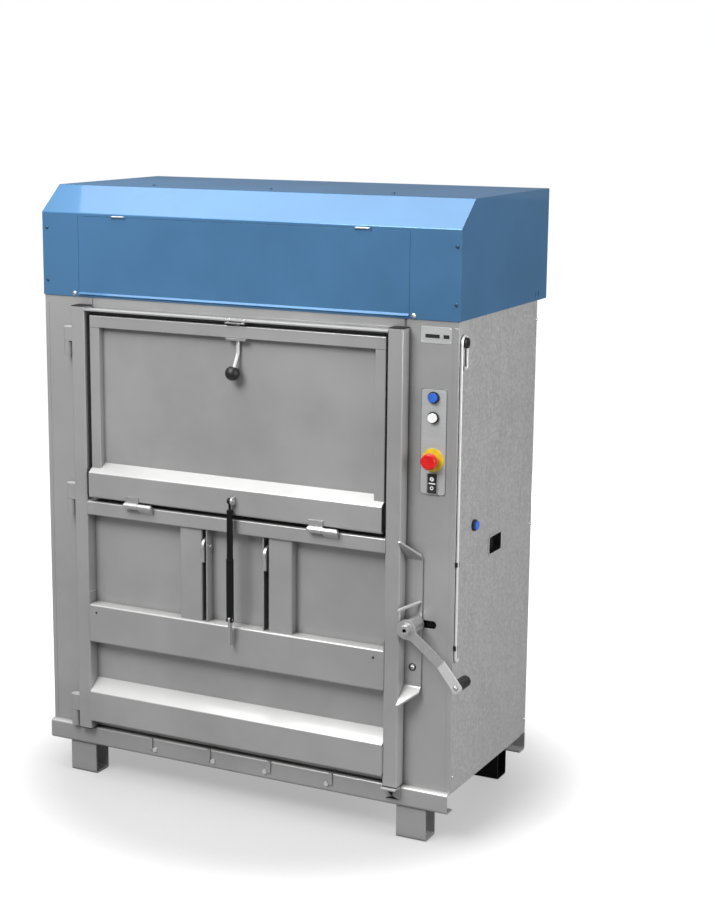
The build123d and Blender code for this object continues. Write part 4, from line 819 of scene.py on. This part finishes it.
# %% The guard's bolt and the crank's end screw
EAR_SHEET = 0.005
GUARD_BOLT_X, GUARD_BOLT_Z = 0.612, 0.564
GUARD_BOLT_RADIUS = 0.0068
HOLE_SHADE_PROFILE = [(0.0086, -0.0002), (0.0086, 0.0012), (0.0118, 0.0012), (0.0122, -0.0002)]
ROUND_SEGMENTS = 32
CRANK_END_X, CRANK_END_Z = 0.796, 0.553
CRANK_SCREW_RADIUS = 0.0058
ear_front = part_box("door_stiles")[1].y - EAR_SHEET
guard_spot = Vector((GUARD_BOLT_X, ear_front, GUARD_BOLT_Z))
screw_set("guard_bolt", "door", zinc_plate, GUARD_BOLT_RADIUS, [(guard_spot, FRONT)])
# Painted shade: a dark ring round the bolt's head stands for the hole that the bolt passes through.
builder = bmesh.new()
spin_profile(builder, HOLE_SHADE_PROFILE, facing(guard_spot, FRONT), ROUND_SEGMENTS, closed=True)
finish_piece(builder, "guard_bolt_hole_shade", black_coat, "door")
crank_end = (CRANK_END_X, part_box("lever_arm")[0].y, CRANK_END_Z)
screw_set("crank_end_screw", "door_lever", zinc_plate, CRANK_SCREW_RADIUS, [(crank_end, FRONT)])

# %% [markdown]
# ## Control foil
# The buttons pass through a pale foil with round corners. Under it lies a dark sheet, which shows
# as a dark line at the foil's upper left: a painted shadow of the foil's edge. Boolean cuts could
# make the holes, but they leave ragged faces on something so thin. So the area between the outline
# and the holes is divided into triangles, which are laid twice, as a front and a back, and walls
# along every loop join the two.

# %% A plate with holes
CIRCLE_CORNERS = 28


def round_loop(centre, radius):
    """Points round a circle."""
    angles = [2 * math.pi * step / CIRCLE_CORNERS for step in range(CIRCLE_CORNERS)]
    return [(centre[0] + radius * math.cos(a), centre[1] + radius * math.sin(a)) for a in angles]


def pierced_plate(builder, place, loops, thickness):
    """A flat plate between an outer loop and the loops of its holes."""
    triangles = tessellate_polygon([[Vector((x, y, 0)) for x, y in loop] for loop in loops])
    layers = []
    for level in (0, thickness):
        rings = [[builder.verts.new(place @ Vector((x, y, level))) for x, y in loop] for loop in loops]
        corners = sum(rings, [])
        for triangle in triangles:
            builder.faces.new([corners[index] for index in triangle])
        layers.append(rings)
    for low, high in zip(*layers):
        join_rings(builder, low, high)


print("plate with holes ready")

# %% The foil and the painted shadow line under it
BUTTON_HOLE_RADIUS = 0.0165
STOP_HOLE_RADIUS = 0.02
SWITCH_HOLE = (0.036, 0.064, 0.003)
FOIL_CORNER = 0.008
FOIL_CORNER_STEPS = 7
FOIL_GAP = 0.0012
FOIL_SHIFT = 0.0006
foil_low, foil_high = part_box("control_plate")
foil_width, foil_height = foil_high.x - foil_low.x, foil_high.z - foil_low.z
foil_x, foil_z = (foil_low.x + foil_high.x) / 2, (foil_low.z + foil_high.z) / 2
foil_face = Vector((foil_x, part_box("stop_collar")[1].y, foil_z))


def on_foil(node):
    """The middle of a control, measured across and up the foil."""
    middle = sum(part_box(node), Vector()) / 2 - foil_face
    return middle.x, middle.z


holes = [
    round_loop(on_foil("blue_button"), BUTTON_HOLE_RADIUS),
    round_loop(on_foil("white_button"), BUTTON_HOLE_RADIUS),
    round_loop(on_foil("stop_collar"), STOP_HOLE_RADIUS),
    rounded_loop(on_foil("power_switch"), *SWITCH_HOLE, steps=FOIL_CORNER_STEPS),
]
# The first sheet is dark, a painted shadow; the foil lies over it, shifted right and down.
for name, material, slot, shift, gap, thickness in (
    ("control_foil_shadow_line", black_plastic, "black_plastic", 0, 0, 0.0002),
    ("control_foil", brushed_plate, "brushed_plate", FOIL_SHIFT, FOIL_GAP, 0.0005),
):
    size = (foil_width - gap, foil_height - gap, FOIL_CORNER)
    outline = rounded_loop((shift, -shift), *size, steps=FOIL_CORNER_STEPS)
    builder = bmesh.new()
    pierced_plate(builder, facing(foil_face, FRONT), [outline, *holes], thickness)
    finish_piece(builder, name, material, "cabinet")
print("control foil added, with", len(holes), "holes")

# %% [markdown]
# ## Marks on the rocker switch
# The rocker says ON with a bar in a white disc and OFF with a ring, and a white line divides them.
# They could be printed in the material, but then they would need coordinates of their own. Thin
# raised marks take theirs from the rocker's two leaning faces and rock with it.

# %% Rocker marks
ROCKER_CROWN = 0.004
MARK_THICKNESS = 0.0003
ON_DISC_RADIUS = 0.0068
OFF_RING_RADII = (0.0036, 0.0056)
ON_BAR_WIDTH, ON_BAR_HEIGHT = 0.0022, 0.008
DIVIDER_WIDTH, DIVIDER_HEIGHT = 0.022, 0.0032
rocker_low, rocker_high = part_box("power_switch")
rocker_centre = (rocker_low + rocker_high) / 2
rocker_half = (rocker_high.z - rocker_low.z) / 2


def on_rocker(side):
    """The middle of the rocker's upper or lower face, which lean towards the pivot."""
    level = rocker_centre.z + side * rocker_half / 2
    point = Vector((rocker_centre.x, rocker_low.y + ROCKER_CROWN / 2, level))
    return facing(point, (0, -rocker_half, -side * ROCKER_CROWN))


deep, proud = -MARK_THICKNESS, MARK_THICKNESS
inner, outer = OFF_RING_RADII
disc = [(0, deep), (ON_DISC_RADIUS, deep), (ON_DISC_RADIUS, proud), (0, proud)]
ring = [(inner, deep), (inner, proud), (outer, proud), (outer, deep)]
builder = bmesh.new()
spin_profile(builder, disc, on_rocker(1), ROUND_SEGMENTS)
spin_profile(builder, ring, on_rocker(-1), ROUND_SEGMENTS, closed=True)
place = facing((rocker_centre.x, rocker_low.y + ROCKER_CROWN, rocker_centre.z), FRONT)
rounded_plate(
    builder, place, DIVIDER_WIDTH, DIVIDER_HEIGHT, thickness=0.0007, corner=0.0004, bevel=0.0001
)
finish_piece(builder, "rocker_marks", white_plastic, "power_switch")
builder = bmesh.new()
place = on_rocker(1) @ Matrix.Translation((0, 0, 0.0002))
rounded_plate(
    builder, place, ON_BAR_WIDTH, ON_BAR_HEIGHT, thickness=MARK_THICKNESS, corner=0.0003, bevel=0.0001
)
finish_piece(builder, "rocker_mark_bar", black_plastic, "power_switch")
print("rocker marks added")

# %% [markdown]
# ## Folded edges and seams
# The side sheets turn round the front corners in a narrow flange, which catches the light as a pale
# line beside each front panel. The hatch is a frame of butted tubes, and a fine dark line of painted
# shade stands for the narrow gap at each butt. Lines like these are laid on as very thin strips,
# because the tubes touch in the model.
# A lip under the lintel closes the gap that one would otherwise look through over the door.

# %% Lintel lip and corner flanges
STRIP_THICKNESS = 0.0011
LIP_HEIGHT = 0.026
LIP_DROP = 0.012
LIP_INSET = 0.0014
FLANGE_WIDTH = 0.0146
FLANGE_INSET = 0.0075
FLANGE_EDGE = 0.0006
FLANGE_GAP = 0.004
HOOD_OVERLAP = 0.018
lintel_low, lintel_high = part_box("lintel_panel")
lip_width = lintel_high.x - lintel_low.x
lip_x = (lintel_low.x + lintel_high.x) / 2
lip_place = facing((lip_x, lintel_low.y + LIP_INSET, lintel_low.z - LIP_DROP), FRONT)
builder = bmesh.new()
rounded_plate(builder, lip_place, lip_width, LIP_HEIGHT, STRIP_THICKNESS, corner=0.001, bevel=0.0003)
finish_piece(builder, "lintel_lip", grey_coat, "cabinet")
sheet_low, sheet_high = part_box("side_panel_right")
flange_top = hood_low.z - HOOD_OVERLAP
flange_length = flange_top - sheet_low.z - FLANGE_GAP
flange_x = sheet_high.x - FLANGE_INSET
builder = bmesh.new()
for x in (-flange_x, flange_x):
    place = facing((x, panel_front, (sheet_low.z + flange_top) / 2), FRONT)
    rounded_plate(builder, place, FLANGE_WIDTH, flange_length, STRIP_THICKNESS, FLANGE_EDGE, FLANGE_EDGE)
finish_piece(builder, "corner_flanges", grey_coat, "cabinet")
print("lip and flanges added")

# %% Painted shade in the hatch's butt seams and the hood's drain slots
SEAM_WIDTH = 0.0009
SEAM_THICKNESS = 0.00012
HATCH_TUBE = 0.036
HATCH_FACE_INSET = 0.004
HATCH_SEAM_DROP = 0.039
DRAIN_Y, DRAIN_Z = 0.3155, 1.664
DRAIN_WIDTH, DRAIN_HEIGHT = 0.004, 0.018
DRAIN_THICKNESS = 0.0003
head_low, head_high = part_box("hatch_frame")
# Painted shade: a thin dark strip at each butt of the hatch's tubes.
builder = bmesh.new()
for x in (head_low.x + HATCH_TUBE / 2, head_high.x - HATCH_TUBE / 2):
    place = facing((x, head_low.y + HATCH_FACE_INSET, head_high.z - HATCH_SEAM_DROP), FRONT)
    size = (HATCH_TUBE + SEAM_WIDTH, SEAM_WIDTH, SEAM_THICKNESS)
    rounded_plate(builder, place, *size, corner=0.0002, bevel=0.00005)
finish_piece(builder, "hatch_seam_shade", black_coat, "hatch")
# Painted shade: each drain slot's opening is a thin dark plate on the hood's side.
builder = bmesh.new()
for x, normal in ((-hood_high.x, -RIGHT), (hood_high.x, RIGHT)):
    place = facing((x, DRAIN_Y, DRAIN_Z), normal)
    size = (DRAIN_WIDTH, DRAIN_HEIGHT, DRAIN_THICKNESS)
    rounded_plate(builder, place, *size, corner=0.0018, bevel=0.0001)
finish_piece(builder, "hood_drain_slot_shade", black_plastic, "cabinet")
print("seams and drain slots added")

# %% [markdown]
# ## Screws of the side panels
# The galvanised sheets are screwed to the frame near their corners and once halfway up the back
# edge. The screws sit on the sheet's own face, so that they follow it if the machine gets wider.

# %% Side screws
SHEET_SCREW_RADIUS = 0.0048
SIDE_SCREW_PLACES = ((0.311, 1.581), (0.309, 0.9), (0.301, 0.221), (-0.312, 0.221))
right_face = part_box("side_panel_right")[1].x
left_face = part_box("side_panel_left")[0].x
side_spots = [
    ((x, y, z), normal)
    for x, normal in ((right_face, RIGHT), (left_face, -RIGHT))
    for y, z in SIDE_SCREW_PLACES
]
screw_set("side_screws", "cabinet", zinc_plate, SHEET_SCREW_RADIUS, side_spots)

# %% [markdown]
# ## The back
# The photograph doesn't show the back, so this is what such a machine has: a screwed sheet, screws
# along the hood's foot and top, and louvres that let the power unit's heat out. Real louvres are
# pressed through the sheet. Here a louvre is a dark slot of painted shade, standing for the opening,
# under a half-round lip, which looks the same and leaves the hood whole.

# %% Back screws and louvres
BACK_SCREW_X = (-0.7, 0, 0.7)
BACK_SCREW_Z = (0.215, 1.61)
BACK_MIDDLE_Z = 0.9
HOOD_BACK_SCREW_Z = (1.675, 1.955)
LOUVRE_X = (-0.42, -0.21, 0.21, 0.42)
LOUVRE_ROWS = 7
LOUVRE_BOTTOM_Z = 1.745
LOUVRE_PITCH = 0.024
LOUVRE_WIDTH = 0.16
LOUVRE_HEIGHT = 0.009
LOUVRE_THICKNESS = 0.0004
LOUVRE_LIP_RADIUS = 0.0035
LOUVRE_LIP_OFFSET = Vector((0, 0.0006, 0.005))
back_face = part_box("back_panel")[1].y
back_spots = [((x, back_face, z), BACK) for x in BACK_SCREW_X for z in BACK_SCREW_Z]
back_spots += [((x, back_face, BACK_MIDDLE_Z), BACK) for x in (BACK_SCREW_X[0], BACK_SCREW_X[-1])]
screw_set("back_screws", "cabinet", zinc_plate, SHEET_SCREW_RADIUS, back_spots)
hood_back_spots = [((x, hood_high.y, z), BACK) for x in BACK_SCREW_X for z in HOOD_BACK_SCREW_Z]
screw_set("hood_back_screws", "cabinet", screw_coat, HOOD_SCREW_RADIUS, hood_back_spots)
# Painted shade: each louvre's opening is a thin dark plate under a blue lip.
slots = bmesh.new()
lips = bmesh.new()
half_width = Vector((LOUVRE_WIDTH / 2, 0, 0))
for x in LOUVRE_X:
    for row in range(LOUVRE_ROWS):
        spot = Vector((x, hood_high.y, LOUVRE_BOTTOM_Z + row * LOUVRE_PITCH))
        size = (LOUVRE_WIDTH, LOUVRE_HEIGHT, LOUVRE_THICKNESS)
        rounded_plate(slots, facing(spot, BACK), *size, corner=0.002, bevel=0.0001)
        lip = spot + LOUVRE_LIP_OFFSET
        bar_along(lips, [lip - half_width, lip, lip + half_width], LOUVRE_LIP_RADIUS)
finish_piece(slots, "louvre_slot_shade", black_plastic, "cabinet")
finish_piece(lips, "louvre_lips", blue_coat, "cabinet")
print("louvres added:", len(LOUVRE_X) * LOUVRE_ROWS)

# %% [markdown]
# ## Floor
# The machine stands on a pale studio floor. Strong lamps could make a floor white, but they would
# bleach the machine too. So the floor's paper is rather dark and glows only for the camera, and it
# glows less beside the machine, where the machine's shadow has to show.

# %% Floor
FLOOR_HALF = 30
WHITE_REACH = (0.7, 1.22)
NEAR_GLOW = 0.4


def grey(level):
    """A neutral colour of one level."""
    return (level, level, level)


def stage_floor():
    """A pale floor that keeps the machine's shadow and is white to the camera elsewhere."""
    builder = bmesh.new()
    builder.faces.new([builder.verts.new((x * FLOOR_HALF, y * FLOOR_HALF, 0)) for x, y in QUARTERS])
    mesh = bpy.data.meshes.new("floor")
    builder.to_mesh(mesh)
    builder.free()
    floor = bpy.data.objects.new("floor", mesh)
    bpy.context.scene.collection.objects.link(floor)
    paper = Finish("floor_paper")
    fibre = paper.noise(scale=60, detail=3)
    seen = paper.add("ShaderNodeLightPath", {}, {}, "Is Camera Ray")
    reach = paper.add("ShaderNodeVectorMath", {"operation": "LENGTH"}, {0: paper.place}, 1)
    glow = paper.blend(reach.above(*WHITE_REACH), grey(NEAR_GLOW), grey(1))
    paper.set(
        Base_Color=paper.blend(fibre, grey(0.25), grey(0.28)),
        Roughness=1.0,
        Specular_IOR_Level=0.0,
        Emission_Color=paper.blend(seen, grey(0), glow),
        Emission_Strength=1.0,
    )
    mesh.materials.append(paper.material)


stage_floor()
print("floor laid")

# %% [markdown]
# ## World
# Behind the machine everything is white. A white world would do that, but its light would fill
# every shadow. A light path tells the rays apart, so that the camera sees white while the machine
# gets a much weaker light from all around.

# %% White world
WORLD_LIGHT = 0.24
WORLD_GLOSS = 0.28


def white_world():
    """White to the camera, and a much weaker plain light in reflections and on the machine."""
    world = bpy.data.worlds.new("studio")
    bpy.context.scene.world = world
    world.use_nodes = True
    sky = Graph(world.node_tree)
    seen = sky.add("ShaderNodeLightPath", {}, {}, "Is Camera Ray")
    mirrored = sky.add("ShaderNodeLightPath", {}, {}, "Is Glossy Ray")
    background = sky.tree.nodes["Background"]
    sky.feed(background.inputs["Color"], grey(1))
    strength = WORLD_LIGHT + seen * (1 - WORLD_LIGHT) + mirrored * (WORLD_GLOSS - WORLD_LIGHT)
    sky.feed(background.inputs["Strength"], strength)


white_world()
print("world lit")

# %% [markdown]
# ## Lamps
# The machine is lit softly from high in front, from overhead, from the right and from behind. Point
# lamps would give hard shadows and tiny highlights, so each lamp is a wide soft box. The overhead
# one has a sharp left end, and the coat's gloss shows that end as a clear line across each sloping
# fold. It aims a millimetre off the vertical, which fixes the direction of its sides.

# %% Soft boxes


def soft_light(name, place, aim, size, power):
    """A rectangular soft box that points at a place."""
    lamp = bpy.data.lights.new(name, "AREA")
    lamp.shape = "RECTANGLE"
    lamp.size, lamp.size_y = size
    lamp.energy = power
    item = bpy.data.objects.new(name, lamp)
    item.location = place
    item.rotation_euler = (Vector(aim) - Vector(place)).to_track_quat("-Z", "Y").to_euler()
    bpy.context.scene.collection.objects.link(item)
    print(name, power, "W")


soft_light("key_box", place=(-0.8, -4.4, 4.6), aim=(0, 0, 1.7), size=(2.6, 2.0), power=262)
soft_light("ceiling_box", place=(-1.0, -1.6, 4.96), aim=(-1.0, -1.599, 0), size=(3.4, 4.1), power=170)
soft_light("side_box", place=(5.0, -0.6, 2.2), aim=(0.7, 0, 1.0), size=(2.4, 3.2), power=192)
soft_light("back_box", place=(-0.6, 5.2, 1.0), aim=(0, 0, 1.0), size=(2.8, 1.7), power=150)

# %% [markdown]
# ## Camera
# The camera stands where the photograph was taken from. Moving it by eye until the picture fits
# would take long and never be exact, so its place, lens and shift were worked out from the corners
# of the machine in the photograph.

# %% Camera
camera_data = bpy.data.cameras.new("camera")
camera_data.sensor_width = 36
camera_data.lens = 74.46
camera_data.shift_x = 0.0754
camera_data.shift_y = 0.0131
camera = bpy.data.objects.new("camera", camera_data)
bpy.context.scene.collection.objects.link(camera)
camera.location = (2.8708, -5.3735, 2.3449)
camera.rotation_euler = [math.radians(angle) for angle in (78.371, -0.153, 28.129)]
bpy.context.scene.camera = camera
bpy.context.scene.view_settings.view_transform = "Standard"
print("camera at", tuple(round(v, 3) for v in camera.location))
